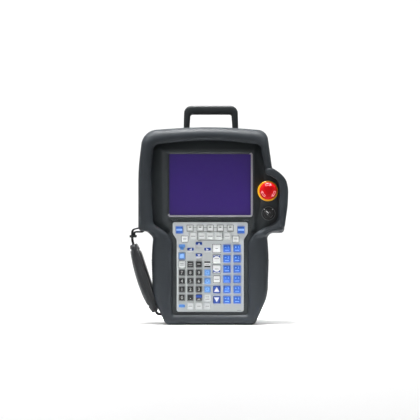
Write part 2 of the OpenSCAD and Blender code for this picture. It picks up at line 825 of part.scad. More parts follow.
module rear_cover() {
  foot_in = inset(cover_foot, cover_wall + 5.6);
  color("#3a3e41")
    difference() {
      union() {
        loft([
          rear_ring(inset(cover_foot, 6.5), rear_d + cover_d),
          rear_ring(inset(cover_foot, 3.6), rear_d + cover_d - 0.9),
          rear_ring(inset(cover_foot, 1.9), rear_d + cover_d - 3.2),
          rear_ring(inset(cover_foot, 1.3), rear_d + cover_d - 6),
          rear_ring(cover_foot, rear_d)
        ]);
        translate([0, 0, plinth_low_z])
          linear_extrude(plinth_high_z - plinth_low_z)
            inlet_2d(0);
        slab(-rear_d - 2, -rear_d + wall)
          polygon(outline(box_corners(
            -bay_half + fit, bay_low_z + fit, bay_half - fit, bay_high_z - fit, 6, 6)));
      }
      loft([
        rear_ring(inset(foot_in, 1.4), rear_d + cover_d - cover_wall),
        rear_ring(foot_in, rear_d + cover_d - 8),
        rear_ring(foot_in, rear_d - wall - 1)
      ]);
      translate([0, inlet_y, plinth_low_z - 1])
        cylinder(r = inlet_r + 0.05, h = plinth_high_z - plinth_low_z + 2, $fn = 64);
      for (s = [-1, 1])
        translate([s * inlet_screw_x, inlet_y, plinth_low_z - 1])
          cylinder(r = 1.25, h = 9, $fn = 32);
      for (p = cover_screw_spots) {
        rod(p[0], p[1], 1.6, -rear_d - 6, -rear_d + 1);
        rod(p[0], p[1], bore_r, -rear_d - cover_d - 2, -rear_d - cover_bore_d);
      }
    }
}

module rear_cover_screws() {
  color("silver")
    for (p = cover_screw_spots)
      screw(p[0], p[1], 1.2, 2.8, 2, -rear_d - cover_bore_d, 11);
}

module case_screws() {
  color("silver")
    for (p = case_spots)
      screw(p[0], p[1], case_screw_r, 2.8, 2.4, -rear_d + case_bore_d, rear_d + 3);
}

// ---- Front panels ----

pane_lap = 3;
// The screen's rectangle between two heights, larger by grow on every side
module screen_slab(h0, h1, grow) {
  slab(h0, h1)
    polygon(outline(box_corners(
      -screen_w / 2 - grow, screen_z - screen_h / 2 - grow,
      screen_w / 2 + grow, screen_z + screen_h / 2 + grow, 1.5 + grow, 3)));
}

module tab_2d(grow) {
  translate([-tab_half - grow, 0])
    square([2 * tab_half + 2 * grow, tab_high_z + grow]);
}

field_left = lcd_left - 1.4;
field_right = 72.6;
field_high_z = screen_z + screen_h / 2 + 8.4;
field_plate = [
  [field_right, field_low_z, 1, 1, 0],
  [field_right, field_high_z, 3, 4, 0],
  [field_left, field_high_z, 3, 4, 0],
  [field_left, seam_z + 16, 3, 2, 0],
  [-field_half - 2, seam_z, 1, 1, 0],
  [-field_half - 2, field_low_z, 1, 1, 0]
];

module display_panel() {
  color("#2c3033")
    difference() {
      union() {
        slab(seat_h, panel_front)
          difference() {
            polygon(outline(inset(field, 0.4 + fit)));
            translate([-150, -10])
              square([300, seam_z + fit + 10]);
            tab_2d(fit);
          }
        slab(panel_front - 0.5, field_front)
          intersection() {
            polygon(outline(field_plate));
            difference() {
              polygon(outline(inset(field, 6)));
              translate([-150, -10])
                square([300, seam_z + fit + 10]);
              tab_2d(fit);
            }
          }
        for (p = post_spots)
          rod(p[0], p[1], post_r, lcd_back, seat_h + 0.5);
      }
      hull() {
        screen_slab(pane_front - 0.1, pane_front, 0);
        screen_slab(field_front + 0.1, field_front + 0.2, bevel_w);
      }
      screen_slab(seat_h - 1, pane_front, pane_lap + 0.2);
      rod(estop_x, estop_z, barrel_r + 0.1, seat_h - 1, field_front);
      rod(enable_x, enable_z, enable_body_r + 0.1, seat_h - 1, field_front);
      for (p = display_screw_spots)
        rod(p[0], p[1], panel_screw_r + 0.05, seat_h - 1, seat_h + 2);
      for (p = post_spots)
        rod(p[0], p[1], 1.05, lcd_back - 1, lcd_back + 8);
    }
}

module keypad_frame() {
  color("#2a2e31")
    difference() {
      union() {
        slab(seat_h, panel_front)
          difference() {
            intersection() {
              polygon(outline(inset(field, 0.4 + fit)));
              translate([-150, -10])
                square([300, seam_z + 10]);
            }
            polygon(outline(inset(overlay, -0.25)));
          }
        slab(seat_h, panel_front)
          difference() {
            translate([-tab_half, seam_z - 4])
              square([2 * tab_half, tab_high_z - seam_z + 4]);
            polygon(outline(inset(overlay, -0.25)));
          }
      }
      for (p = concat(frame_screw_spots, plate_screw_spots))
        rod(p[0], p[1], panel_screw_r + 0.05, seat_h - 1, seat_h + 2);
    }
}

module panel_screws() {
  color("silver")
    for (p = concat(display_screw_spots, frame_screw_spots))
      screw(p[0], p[1], panel_screw_r, 2.3, 1.6, seat_h - seat_t, seat_t + 1.8);
}

module keypad_screws() {
  color("silver")
    for (p = plate_screw_spots)
      screw(p[0], p[1], panel_screw_r, 2.3, 1.6, plate_back, seat_h - plate_back + 1.8);
}

// ---- Display ----

module display_window() {
  color("#3a2a62")
    screen_slab(pane_back, pane_front, pane_lap);
}

module window_seal() {
  color("#151617")
    difference() {
      screen_slab(lcd_front, pane_back, pane_lap);
      screen_slab(lcd_front - 1, pane_back + 1, 0.4);
    }
}

module lcd_module() {
  color("#8f9498")
    difference() {
      slab(lcd_back, lcd_front)
        translate([lcd_left, screen_z - lcd_h / 2])
          square([lcd_w, lcd_h]);
      screen_slab(lcd_front - 0.8, lcd_front + 1, 0.2);
      for (s = [-1, 1])
        slab(lcd_back - 1, lcd_back + 3)
          translate([lcd_x + s * (lcd_w / 2 - 3) - 2, screen_z - 20])
            square([4, 40]);
    }
}

module lcd_bracket() {
  color("#a9adb0")
    difference() {
      slab(bracket_back, lcd_back)
        difference() {
          union() {
            translate([post_spots[0][0] - post_r, screen_z - lcd_h / 2 + 4])
              square([post_spots[2][0] - post_spots[0][0] + 2 * post_r, lcd_h - 8]);
            for (s = [-1, 1])
              translate([s * board_spots[2][0] - 5, board_low_z])
                square([10, board_high_z - board_low_z]);
          }
          for (i = [-1 : 1])
            translate([40 * i - 14, screen_z - 24])
              square([28, 48]);
        }
      for (p = post_spots)
        rod(p[0], p[1], 1.3, bracket_back - 1, lcd_back + 1);
      for (p = board_spots)
        rod(p[0], p[1], 1.3, bracket_back - 1, lcd_back + 1);
    }
}

module lcd_screws() {
  color("silver")
    for (p = post_spots)
      screw(p[0], p[1], 1, 2.2, 1.4, bracket_back, 8);
}

// ---- Electronics ----

module board_standoffs() {
  color("#c9a94e")
    for (p = board_spots)
      difference() {
        union() {
          hex_rod(p[0], p[1], 3, board_front, bracket_back);
          rod(p[0], p[1], 1.2, bracket_back - 1, lcd_back - 0.1);
        }
        rod(p[0], p[1], 1.05, board_front - 1, board_front + 5);
      }
}

module main_board() {
  color("#1f6b45")
    slab(board_front - board_t, board_front)
      difference() {
        translate([-board_half, board_low_z])
          square([2 * board_half, board_high_z - board_low_z]);
        for (p = board_spots)
          translate(p)
            circle(r = 1.2, $fn = 24);
      }
}

// Chips, headers and capacitors, seated on the back of the board: [x, z, width, height, thickness]
board_parts = [
  [-14, 226, 28, 28, 2.4], [30, 232, 18, 18, 2], [30, 206, 18, 12, 1.6], [-40, 232, 14, 22, 1.8],
  [-40, 200, 12, 12, 1.6], [-6, 192, 22, 8, 1.4], [0, 159, 44, 6, 6], [-46, 166, 14, 7, 7],
  [46, 166, 14, 7, 7], [0, 266, 60, 6, 5], [54, 214, 7, 36, 7]
];
capacitor_spots = [[-54, 256], [-42, 256], [40, 256]];

module board_components() {
  color("#222427") {
    for (p = board_parts)
      slab(board_front - board_t - p[4], board_front - board_t)
        translate([p[0] - p[2] / 2, p[1] - p[3] / 2])
          square([p[2], p[3]]);
    for (p = capacitor_spots)
      rod(p[0], p[1], 4, board_front - board_t - 9, board_front - board_t);
  }
}

module board_screws() {
  color("silver")
    for (p = board_spots)
      screw(p[0], p[1], 1, 2.2, 1.4, board_front - board_t, board_t + 4);
}

// ---- Keypad ----

// Every key as [x, z, width, height]
top_row_z = overlay_high_z - 12.1;
second_row_z = top_row_z + 2.5;
third_row_z = top_row_z - 9.8;
left_x = -45.3;
left_pitch = 13.6;
low_row_z = overlay_low_z + 9.3;
row_pitch = 13.32;
right_x = 10.4;
right_pitch = 16.4;
right_low_z = overlay_low_z + 19.2;
arrow_x = left_x + 2 * left_pitch + 0.2;
arrow_z = third_row_z - 22.8;
keys = concat(
  [for (s = [-1, 1]) [s * (overlay_half - 4.1), top_row_z, large_key - 0.5, large_key - 0.5]],
  [for (i = [-2 : 2]) [16.1 * i, second_row_z, small_key - 1.4, small_key - 0.9]],
  [for (i = [-2 : 2]) [left_pitch * i, third_row_z, small_key + 0.6, small_key + 0.1]],
  [for (s = [-1, 1]) [s * (overlay_half - 12.7), third_row_z - 4.9, small_key - 0.4, small_key - 1.4]],
  [for (i = [0 : 3]) for (j = [0 : 5])
    [left_x + left_pitch * i, low_row_z + row_pitch * j, small_key, small_key]],
  [for (j = [0, 1]) [left_x, low_row_z + row_pitch * 6 + 14.3 * j, small_key, small_key]],
  [for (s = [-1, 1]) [arrow_x + s * left_pitch, arrow_z, small_key + 0.2, small_key - 0.4]],
  [for (s = [-1, 1]) [arrow_x, arrow_z + s * 9.2, small_key + 0.2, small_key - 2]],
  [for (i = [0 : 2]) for (j = [0 : 5])
    [right_x + right_pitch * i, right_low_z + right_pitch * j, large_key, large_key]]
);

module key_2d(k) {
  translate([k[0], k[1]])
    polygon(outline(box_corners(-k[2] / 2, -k[3] / 2, k[2] / 2, k[3] / 2, 1.4, 2)));
}

module keypad_overlay() {
  color("#bcc0c1") {
    slab(overlay_back, overlay_front)
      polygon(outline(overlay));
    for (k = keys)
      slab(overlay_back + overlay_t / 2, overlay_front + key_rise)
        key_2d(k);
  }
}

module keypad_domes() {
  color("silver")
    for (k = keys)
      rod(k[0], k[1], 3.4, overlay_back - dome_t, overlay_back);
}

module keypad_membrane() {
  color("#d8d2b8") {
    slab(plate_front, plate_front + membrane_t)
      polygon(outline(inset(overlay, 0.4)));
  }
}

module keypad_backing_plate() {
  color("#b4b8ba")
    difference() {
      union() {
        slab(seat_h - 0.2, plate_front)
          polygon(outline(inset(overlay, fit)));
        slab(plate_back, seat_h)
          difference() {
            union() {
              polygon(outline(inset(overlay, -1.7)));
              translate([-tab_half + 0.6, flare_z + 2])
                square([2 * tab_half - 1.2, tab_high_z - flare_z - 3]);
            }
            translate([-150, -10])
              square([300, field_low_z + seat_w + fit + 10]);
          }
      }
      for (p = plate_screw_spots)
        rod(p[0], p[1], panel_screw_r + 0.1, plate_back - 1, seat_h + 1);
    }
}

// ---- Stop button ----

barrel_top_h = panel_front + collar_t + 6.9;
cap_low_h = panel_front + collar_t + estop_travel + 0.3;
cap_high_h = cap_low_h + mushroom_h;
cap_inner_h = barrel_top_h + estop_travel + 0.5;
cap_bore_r = barrel_top_r + 0.4;
barrel_low_h = -2;
stem_top_h = cap_inner_h + 3.5;
spring_seat_h = 14;
spring_bore_r = 6.2;
stem_low_h = barrel_low_h - 1.5;
contact_half = 8.8;

module estop_collar() {
  color("#f2c200")
    difference() {
      union() {
        rod(estop_x, estop_z, collar_r, panel_front, panel_front + collar_t * 0.6);
        rotate([90, 0, 0])
          translate([estop_x, estop_z, panel_front + collar_t * 0.6])
            cylinder(r1 = collar_r, r2 = collar_r - collar_t * 0.4, h = collar_t * 0.4, $fn = 48);
      }
      rod(estop_x, estop_z, barrel_r + 0.1, panel_front - 1, panel_front + collar_t + 1);
    }
}

module estop_barrel() {
  color("#3c3f42")
    difference() {
      union() {
        rod(estop_x, estop_z, barrel_r, barrel_low_h, panel_front + collar_t + 1);
        rod(estop_x, estop_z, barrel_top_r, panel_front + collar_t, barrel_top_h);
      }
      rod(estop_x, estop_z, stem_r + play, barrel_low_h - 1, barrel_top_h + 1);
      rod(estop_x, estop_z, spring_bore_r, spring_seat_h, barrel_top_h + 1);
    }
}

module estop_nut() {
  color("#55595c")
    difference() {
      hex_rod(estop_x, estop_z, 10.8, seat_h - 4, seat_h);
      rod(estop_x, estop_z, barrel_r + 0.05, seat_h - 5, seat_h + 1);
    }
}

module estop_contact_block() {
  color("#26292b")
    difference() {
      union() {
        slab(barrel_low_h - 17, barrel_low_h)
          translate([estop_x - contact_half, estop_z - 10])
            square([2 * contact_half, 20]);
        for (s = [-1, 1])
          slab(barrel_low_h - 20, barrel_low_h - 16.5)
            translate([estop_x + s * 5 - 1.5, estop_z - 6])
              square([3, 12]);
      }
      rod(estop_x, estop_z, stem_r + 0.4, stem_low_h - estop_travel - 1, barrel_low_h + 1);
    }
}

// Drawn at the length it has when the button is pressed
module estop_spring() {
  wire_r = 0.7;
  turns = 5;
  color("silver")
    translate([estop_x, -spring_seat_h - wire_r, estop_z])
      rotate([90, 0, 0])
        coil(stem_r + wire_r + 0.45, wire_r, (barrel_top_h - spring_seat_h - 2 * wire_r) / turns, turns);
}

module estop_stem() {
  color("#d9dbdc")
    difference() {
      rod(estop_x, estop_z, stem_r, stem_low_h, stem_top_h);
      hex_rod(estop_x, estop_z, stem_r * 0.5, stem_low_h - 1, stem_low_h + 3);
    }
}

module estop_head() {
  cap_r = mushroom_r;
  crown_h = 4.5;
  color("#c8102e")
    rotate([90, 0, 0])
      translate([estop_x, estop_z, 0])
        difference() {
          union() {
            translate([0, 0, cap_low_h])
              cylinder(r1 = cap_r - 1.2, r2 = cap_r, h = 3, $fn = 64);
            translate([0, 0, cap_low_h + 3])
              cylinder(r = cap_r, h = mushroom_h - 3 - crown_h, $fn = 64);
            translate([0, 0, cap_high_h - crown_h])
              rotate_extrude($fn = 64)
                polygon(concat(
                  [[0, 0]],
                  [for (k = [0 : 6]) let (a = 15 * k)
                    [cap_r - 3.6 * (1 - cos(a)), crown_h * 0.76 * sin(a)]],
                  [[5, crown_h], [0, crown_h]]));
          }
          translate([0, 0, cap_low_h - 1])
            cylinder(r = cap_bore_r, h = cap_inner_h - cap_low_h + 1, $fn = 64);
          translate([0, 0, cap_inner_h - 1])
            cylinder(r = stem_r + play, h = stem_top_h - cap_inner_h + 1, $fn = 48);
        }
}

// ---- Enable switch ----

enable_body_r = 5.9;
knob_shaft_r = 3;
ring_t = 2;
knob_low_h = panel_front + ring_t + 0.3;
enable_low_h = seat_h - 17;

module enable_ring() {
  color("#202224")
    difference() {
      rod(enable_x, enable_z, enable_ring_r, panel_front, panel_front + ring_t);
      rod(enable_x, enable_z, enable_body_r + 0.05, panel_front - 1, panel_front + ring_t + 1);
    }
}

module enable_switch_body() {
  color("#303335")
    difference() {
      union() {
        rod(enable_x, enable_z, enable_body_r, seat_h - 5, panel_front + ring_t);
        slab(enable_low_h, seat_h - 4)
          translate([enable_x - 7, enable_z - 7])
            square(14);
      }
      rod(enable_x, enable_z, knob_shaft_r + play, enable_low_h + 3, panel_front + ring_t + 1);
    }
}

module enable_nut() {
  color("#55595c")
    difference() {
      hex_rod(enable_x, enable_z, 9.2, seat_h - 3.4, seat_h);
      rod(enable_x, enable_z, enable_body_r + 0.05, seat_h - 5, seat_h + 1);
      slab(seat_h - 5, seat_h - 3.9)
        translate([enable_x - 8, enable_z - 8])
          square(16);
    }
}

// Points its bar up and to the left in the first position
module enable_knob() {
  color("#191b1c")
    translate([enable_x, 0, enable_z])
      rotate([90, 0, 0])
        rotate([0, 0, 45])
          difference() {
            union() {
              translate([0, 0, knob_low_h])
                cylinder(r = knob_r, h = knob_h * 0.45, $fn = 48);
              intersection() {
                translate([0, 0, knob_low_h])
                  cylinder(r1 = knob_r, r2 = knob_r * 0.86, h = knob_h, $fn = 48);
                translate([-2.4, -knob_r, knob_low_h])
                  cube([4.8, 2 * knob_r, knob_h]);
              }
            }
            translate([0, 0, knob_low_h - 1])
              cylinder(r = knob_shaft_r + 0.02, h = knob_h * 0.7 + 1, $fn = 48);
          }
}

module enable_shaft() {
  color("silver")
    rod(enable_x, enable_z, knob_shaft_r, enable_low_h + 3.2, knob_low_h + knob_h * 0.7 - 0.1);
}

// ---- Enabling paddles ----

spring_room = 6.5;

module paddle() {
  low_y = hinge_y - barrel_hinge_r;
  edge_x = pocket_out - 3;
  color("#5a5f63")
    difference() {
      union() {
        translate([hinge_x, hinge_y, pocket_low_z + fit])
          cylinder(r = barrel_hinge_r, h = pocket_high_z - pocket_low_z - 2 * fit, $fn = 48);
        intersection() {
          translate([0, 0, pocket_low_z + fit])
            linear_extrude(pocket_high_z - pocket_low_z - 2 * fit)
              polygon([
                [hinge_x, low_y],
                [edge_x - 0.5, hinge_y + 3.2],
                [edge_x, hinge_y + 4.2],
                [edge_x, hinge_y + 7.4],
                [edge_x - 1.4, hinge_y + 9.4],
                [edge_x - 4.2, hinge_y + 11],
                [edge_x - 8, hinge_y + 11.8],
                [edge_x - 12, hinge_y + 11.4],
                [edge_x - 15.6, hinge_y + 9.8],
                [edge_x - 19, hinge_y + 6.4],
                [hinge_x - barrel_hinge_r + 0.2, hinge_y + 1]
              ]);
          rotate([90, 0, 90])
            linear_extrude(200)
              polygon([
                [low_y - 1, pocket_low_z],
                [hinge_y + 4, pocket_low_z],
                [hinge_y + 8, pocket_low_z + 2.4],
                [hinge_y + 10.6, pocket_low_z + 7],
                [hinge_y + 12, pocket_low_z + 16],
                [hinge_y + 12, pocket_high_z - 16],
                [hinge_y + 10.6, pocket_high_z - 7],
                [hinge_y + 8, pocket_high_z - 2.4],
                [hinge_y + 4, pocket_high_z],
                [low_y - 1, pocket_high_z]
              ]);
        }
      }
      translate([hinge_x, hinge_y, pocket_low_z - 1])
        cylinder(r = hinge_pin_r + play, h = pocket_high_z - pocket_low_z + 2, $fn = 48);
      translate([hinge_x, hinge_y, pocket_low_z - 1])
        cylinder(r = barrel_hinge_r + 0.6, h = spring_room + 1, $fn = 48);
    }
}

module hinge_pin() {
  color("silver")
    translate([hinge_x, hinge_y, pocket_low_z - pocket_wall + 0.8])
      cylinder(r = hinge_pin_r, h = pocket_high_z - pocket_low_z + 2 * pocket_wall - 1.6, $fn = 48);
}

module hinge_spring() {
  wire_r = 0.4;
  turns = 4;
  color("silver")
    translate([hinge_x, hinge_y, pocket_low_z + wire_r + 0.1])
      coil(hinge_pin_r + wire_r + 0.15, wire_r, (spring_room - 2 * wire_r - 0.3) / turns, turns);
}

switch_half = 7;
switch_front_y = pocket_floor - pocket_wall;
plunger_low_y = pocket_floor - 13;
dome_clear = 0.3;
underside_slope = atan((barrel_hinge_r + 3.2) / (pocket_out - 3.5 - hinge_x));
plunger_dome_y = hinge_y - barrel_hinge_r + (plunger_x - hinge_x) * tan(underside_slope)
  - (plunger_r + dome_clear) / cos(underside_slope);

module paddle_switch() {
  color("#26292b")
    difference() {
      union() {
        box(plunger_x - switch_half, plunger_x + switch_half, plunger_low_y - 5, switch_front_y,
          plunger_z - 12, plunger_z + 12);
        rod(plunger_x, plunger_z, plunger_hole_r - 0.15, -pocket_floor + 0.6, -switch_front_y + 1);
      }
      rod(plunger_x, plunger_z, plunger_r + play, -pocket_floor - 1, -plunger_low_y + 3);
    }
}

module paddle_plunger() {
  color("#e5e6e6") {
    rod(plunger_x, plunger_z, plunger_r, -plunger_dome_y, -plunger_low_y);
    translate([plunger_x, plunger_dome_y, plunger_z])
      sphere(r = plunger_r, $fn = 48);
  }
}

module deadman_right() {
  paddle();
}
module deadman_left() {
  mirror([1, 0, 0]) paddle();
}
module deadman_right_pin() {
  hinge_pin();
}
module deadman_left_pin() {
  mirror([1, 0, 0]) hinge_pin();
}
module deadman_right_spring() {
  hinge_spring();
}
module deadman_left_spring() {
  mirror([1, 0, 0]) hinge_spring();
}
module deadman_right_switch() {
  paddle_switch();
}
module deadman_left_switch() {
  mirror([1, 0, 0]) paddle_switch();
}
module deadman_right_plunger() {
  paddle_plunger();
}
module deadman_left_plunger() {
  mirror([1, 0, 0]) paddle_plunger();
}

// ---- Handle ----

handle_straight_z = head_shoulder_z + 6;
// One side of the bail from its foot to the middle of the bar, as points in X and Z
function bail_side(half, lean, top_z, reach) = concat(
  [[half, handle_low_z], [half, handle_straight_z]],
  corner_arc([half - lean, top_z], unit([-lean, top_z - handle_straight_z]), [-1, 0], reach, 6)
);
function mirrored(ps) = concat(ps, [for (i = [len(ps) - 1 : -1 : 0]) [-ps[i][0], ps[i][1]]]);

// Rounded rectangle as a superellipse, k-th of n points, with half sizes a and b
function soft_box(k, n, a, b, power) =
  let (t = 360 * (k + 0.5) / n, c = cos(t), s = sin(t))
  [a * sign(c) * pow(abs(c), power), b * sign(s) * pow(abs(s), power)];

module handle() {
  outer = mirrored(bail_side(handle_half, 0.8, handle_top_z, 12));
  inner = mirrored(bail_side(handle_half - handle_leg, 1.6, handle_top_z - handle_bar, 3));
  n = 16;
  color("#2b2f32")
    difference() {
      translate([handle_x, handle_y, 0])
        loft([
          for (i = [0 : len(outer) - 1])
            let (
              mid = (outer[i] + inner[i]) / 2,
              half = norm(outer[i] - inner[i]) / 2,
              out = unit(outer[i] - inner[i])
            )
            [
              for (k = [0 : n - 1])
                let (q = soft_box(k, n, half, handle_d / 2, 0.45), p = mid + q[0] * out)
                [p[0], q[1], p[1]]
            ]
        ]);
      for (s = [-1, 1])
        rod(handle_x + s * handle_leg_x, handle_screw_z, 1.3, -handle_y - handle_d, -handle_y + 2);
    }
}

module handle_screws() {
  color("silver")
    for (s = [-1, 1])
      screw(handle_x + s * handle_leg_x, handle_screw_z, 1.25, 3.2, 2.4,
        -rear_d + handle_bore_d, rear_d - handle_bore_d - handle_y);
}

module grip_ribs() {
  rib_pitch = 3.6;
  rib_h = 1.6;
  color("#222527")
    for (s = [-1, 1]) {
      grip_block(s, 0.1, rib_t, rib_w / 2, rib_low_z, rib_high_z);
      for (z = [rib_low_z + 1 : rib_pitch : rib_high_z - 1 - rib_h])
        grip_block(s, -0.7, 0.4, rib_w / 2 - 1, z, z + rib_h);
    }
}

// ---- Hand strap ----

pad_high = [-grip_low_half - 31.6, grip_z + 15.5];
pad_bulge = [-grip_low_half - 16.2, grip_low_z + 21];
pad_low = [3.4 - grip_low_half, lower_slot_z + 6.5];
function curve(a, b, c, t) = (1 - t) * (1 - t) * a + 2 * t * (1 - t) * b + t * t * c;
function curve_dir(a, b, c, t) = unit((1 - t) * (b - a) + t * (c - b));

module strap_pad() {
  stations = 12;
  n = 16;
  color("#17181a")
    translate([0, strap_y, 0])
      loft([
        for (i = [0 : stations])
          let (
            t = i / stations,
            fullness = pow(sin(180 * (0.04 + 0.92 * t)), 0.55),
            mid = curve(pad_high, pad_bulge, pad_low, t),
            along = curve_dir(pad_high, pad_bulge, pad_low, t),
            out = [along[1], -along[0]]
          )
          [
            for (k = [0 : n - 1])
              let (
                thick = pad_t * (0.45 + 0.55 * fullness),
                wide = pad_w * (0.72 + 0.28 * fullness),
                q = soft_box(k, n, thick / 2, wide / 2, 0.6),
                p = mid + q[0] * out
              )
              [p[0], q[1], p[1]]
          ]
      ]);
}

// A band of webbing along a path in X and Z
module webbing(path) {
  n = len(path);
  side_of = [
    for (i = [0 : n - 1])
      let (
        a = i > 0 ? unit(path[i] - path[i - 1]) : unit(path[1] - path[0]),
        b = i < n - 1 ? unit(path[i + 1] - path[i]) : a
      )
      webbing_t / 2 * (inward(a) + inward(b)) / (1 + a * b)
  ];
  color("#141516")
    slab(-strap_y - webbing_w / 2, -strap_y + webbing_w / 2)
      polygon(concat(
        [for (i = [0 : n - 1]) path[i] + side_of[i]],
        [for (i = [n - 1 : -1 : 0]) path[i] - side_of[i]]));
}

slider_z = strap_side_z - 8.4;
slider_t = 3.6;
outer_layer_x = pad_high[0] - 2.4;
inner_layer_x = outer_layer_x + webbing_t + 0.8;
upper_bend = [outer_layer_x, bar_z + 0.2];
lower_bend = [inner_layer_x, bar_z - loop_r];
upper_off = [anchor_x, bar_z] + loop_r * [cos(102), sin(102)];

module strap_upper_webbing() {
  webbing(concat(
    [[pad_high[0] - 0.6, pad_high[1] + 0.3], [outer_layer_x, mix(pad_high[1], slider_z, 0.6)]],
    corner_arc(upper_bend, [0, 1], unit(upper_off - upper_bend), 4.4, 4),
    [for (a = [102 : -24 : -90]) [anchor_x + loop_r * cos(a), bar_z + loop_r * sin(a)]],
    corner_arc(lower_bend, [-1, 0], [0, -1], 2.6, 3),
    [[inner_layer_x, slider_z - slider_t / 2]]
  ));
}

module strap_lower_webbing() {
  webbing(concat(
    [[pad_low[0] + 0.35, pad_low[1] - 0.5]],
    corner_arc([pad_low[0] + 2.6, lower_slot_z], unit([0.32, -0.95]), [1, 0], 4.4, 4),
    [[lower_bed_x - 0.1, lower_slot_z]]
  ));
}

module strap_slider() {
  half = webbing_w / 2 + 0.5;
  out_x = outer_layer_x - webbing_t / 2;
  in_x = inner_layer_x + webbing_t / 2;
  color("#202224")
    difference() {
      box(out_x - 2.2, in_x + 2.2, strap_y - half - 2.4, strap_y + half + 2.4,
        slider_z - slider_t / 2, slider_z + slider_t / 2);
      box(out_x - fit, in_x + fit, strap_y - half, strap_y + half,
        slider_z - slider_t, slider_z + slider_t);
    }
}

// A bar in the notch at the head's lower left corner, held between the two shells
module strap_upper_anchor() {
  color("#85898c")
    rod(anchor_x, bar_z, bar_r, -strap_y - bar_half, -strap_y + bar_half);
}

module strap_lower_anchor() {
  color("#85898c")
    box(lower_bed_x + fit / 2, lower_bed_x + fit / 2 + lower_plate_t,
      strap_y - lower_pocket_half + fit, strap_y + lower_pocket_half - fit,
      lower_slot_z - lower_plate_h / 2, lower_slot_z + lower_plate_h / 2);
}

// ---- Cable inlet ----

flange_t = 2;
shell_low_z = plinth_low_z - flange_t - inlet_l;
insert_r = inlet_r - inlet_wall - 0.05;
pin_spots = concat(
  [for (i = [0 : 2]) 2.2 * [cos(120 * i), sin(120 * i)]],
  [for (i = [0 : 8]) 5.2 * [cos(40 * i), sin(40 * i)]]
);

module connector_shell() {
  color("#9a9ea1")
    translate([0, 0, shell_low_z])
      difference() {
        union() {
          translate([0, inlet_y, 0])
            cylinder(r = inlet_r, h = plinth_high_z - shell_low_z, $fn = 64);
          translate([0, 0, inlet_l])
            linear_extrude(flange_t)
              inlet_2d(-1);
        }
        translate([0, inlet_y, -1])
          cylinder(r = inlet_r - inlet_wall, h = plinth_high_z - shell_low_z + 2, $fn = 64);
        for (s = [-1, 1])
          translate([s * inlet_screw_x, inlet_y, inlet_l - 1])
            cylinder(r = 1.3, h = flange_t + 2, $fn = 32);
      }
}

module connector_insert() {
  color("#1d1f20")
    difference() {
      translate([0, inlet_y, shell_low_z + 6])
        cylinder(r = insert_r, h = 14, $fn = 64);
      for (p = pin_spots)
        translate([p[0], inlet_y + p[1], shell_low_z + 5])
          cylinder(r = 0.65, h = 16, $fn = 24);
    }
}

module connector_pins() {
  color("#c9a94e")
    for (p = pin_spots)
      translate([p[0], inlet_y + p[1], shell_low_z + 1.4])
        cylinder(r = 0.6, h = 20, $fn = 24);
}

module connector_screws() {
  color("silver")
    for (s = [-1, 1])
      translate([s * inlet_screw_x, inlet_y, plinth_low_z - flange_t - 1.6]) {
        difference() {
          cylinder(r = 2.3, h = 1.6, $fn = 32);
          translate([0, 0, -1])
            cylinder(r = 1.1, h = 1.8, $fn = 6);
        }
        translate([0, 0, 1.4])
          cylinder(r = 1.2, h = flange_t + 7, $fn = 32);
      }
}

front_housing();
rear_housing();
housing_gasket();
rear_cover();
rear_cover_screws();
display_panel();
keypad_frame();
panel_screws();
display_window();
window_seal();
lcd_module();
lcd_bracket();
lcd_screws();
board_standoffs();
main_board();
board_components();
board_screws();
keypad_overlay();
keypad_domes();
keypad_membrane();
keypad_backing_plate();
keypad_screws();
estop_collar();
estop_barrel();
estop_nut();
estop_contact_block();
estop_spring();
estop_stem();
estop_head();
enable_ring();
enable_switch_body();
enable_nut();
enable_knob();
enable_shaft();
deadman_right();
deadman_left();
deadman_right_pin();
deadman_left_pin();
deadman_right_spring();
deadman_left_spring();
deadman_right_switch();
deadman_left_switch();
deadman_right_plunger();
deadman_left_plunger();
handle();
handle_screws();
case_screws();
grip_ribs();
strap_pad();
strap_upper_webbing();
strap_lower_webbing();
strap_slider();
strap_upper_anchor();
strap_lower_anchor();
connector_shell();
connector_insert();
connector_pins();
connector_screws();
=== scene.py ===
"""Dresses the teach pendant: finishes for the moulded parts, and the printed and soft pieces."""
import math
from contextlib import contextmanager

import bmesh
import bpy
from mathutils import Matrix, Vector


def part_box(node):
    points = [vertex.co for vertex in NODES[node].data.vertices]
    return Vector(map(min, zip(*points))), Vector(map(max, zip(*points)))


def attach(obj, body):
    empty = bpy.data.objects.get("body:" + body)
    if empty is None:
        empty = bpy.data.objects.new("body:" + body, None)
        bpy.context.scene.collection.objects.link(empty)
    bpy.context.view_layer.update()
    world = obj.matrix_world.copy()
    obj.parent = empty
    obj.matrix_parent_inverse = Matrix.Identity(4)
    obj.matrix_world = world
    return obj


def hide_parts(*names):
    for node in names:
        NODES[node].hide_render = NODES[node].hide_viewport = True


bl_info = {
    "name": "Teach Pendant",
    "version": (1, 0, 0),
    "blender": (4, 5, 0),
    "location": "View3D > Sidebar > Pendant",
    "description": "Finishes, keys, stop button, hand strap and stage of a teach pendant",
    "category": "Object",
}

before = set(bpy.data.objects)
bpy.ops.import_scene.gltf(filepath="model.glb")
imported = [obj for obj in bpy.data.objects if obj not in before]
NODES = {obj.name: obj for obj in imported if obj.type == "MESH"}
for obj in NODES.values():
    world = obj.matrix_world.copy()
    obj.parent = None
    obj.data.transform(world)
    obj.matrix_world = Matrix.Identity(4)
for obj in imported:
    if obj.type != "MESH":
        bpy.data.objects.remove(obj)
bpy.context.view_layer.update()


def front_of(node):
    """How far the node's foremost face stands in front of the parting plane."""
    return -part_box(node)[0].y


def middle_of(node):
    """The middle of the node's box."""
    low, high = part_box(node)
    return (low + high) / 2


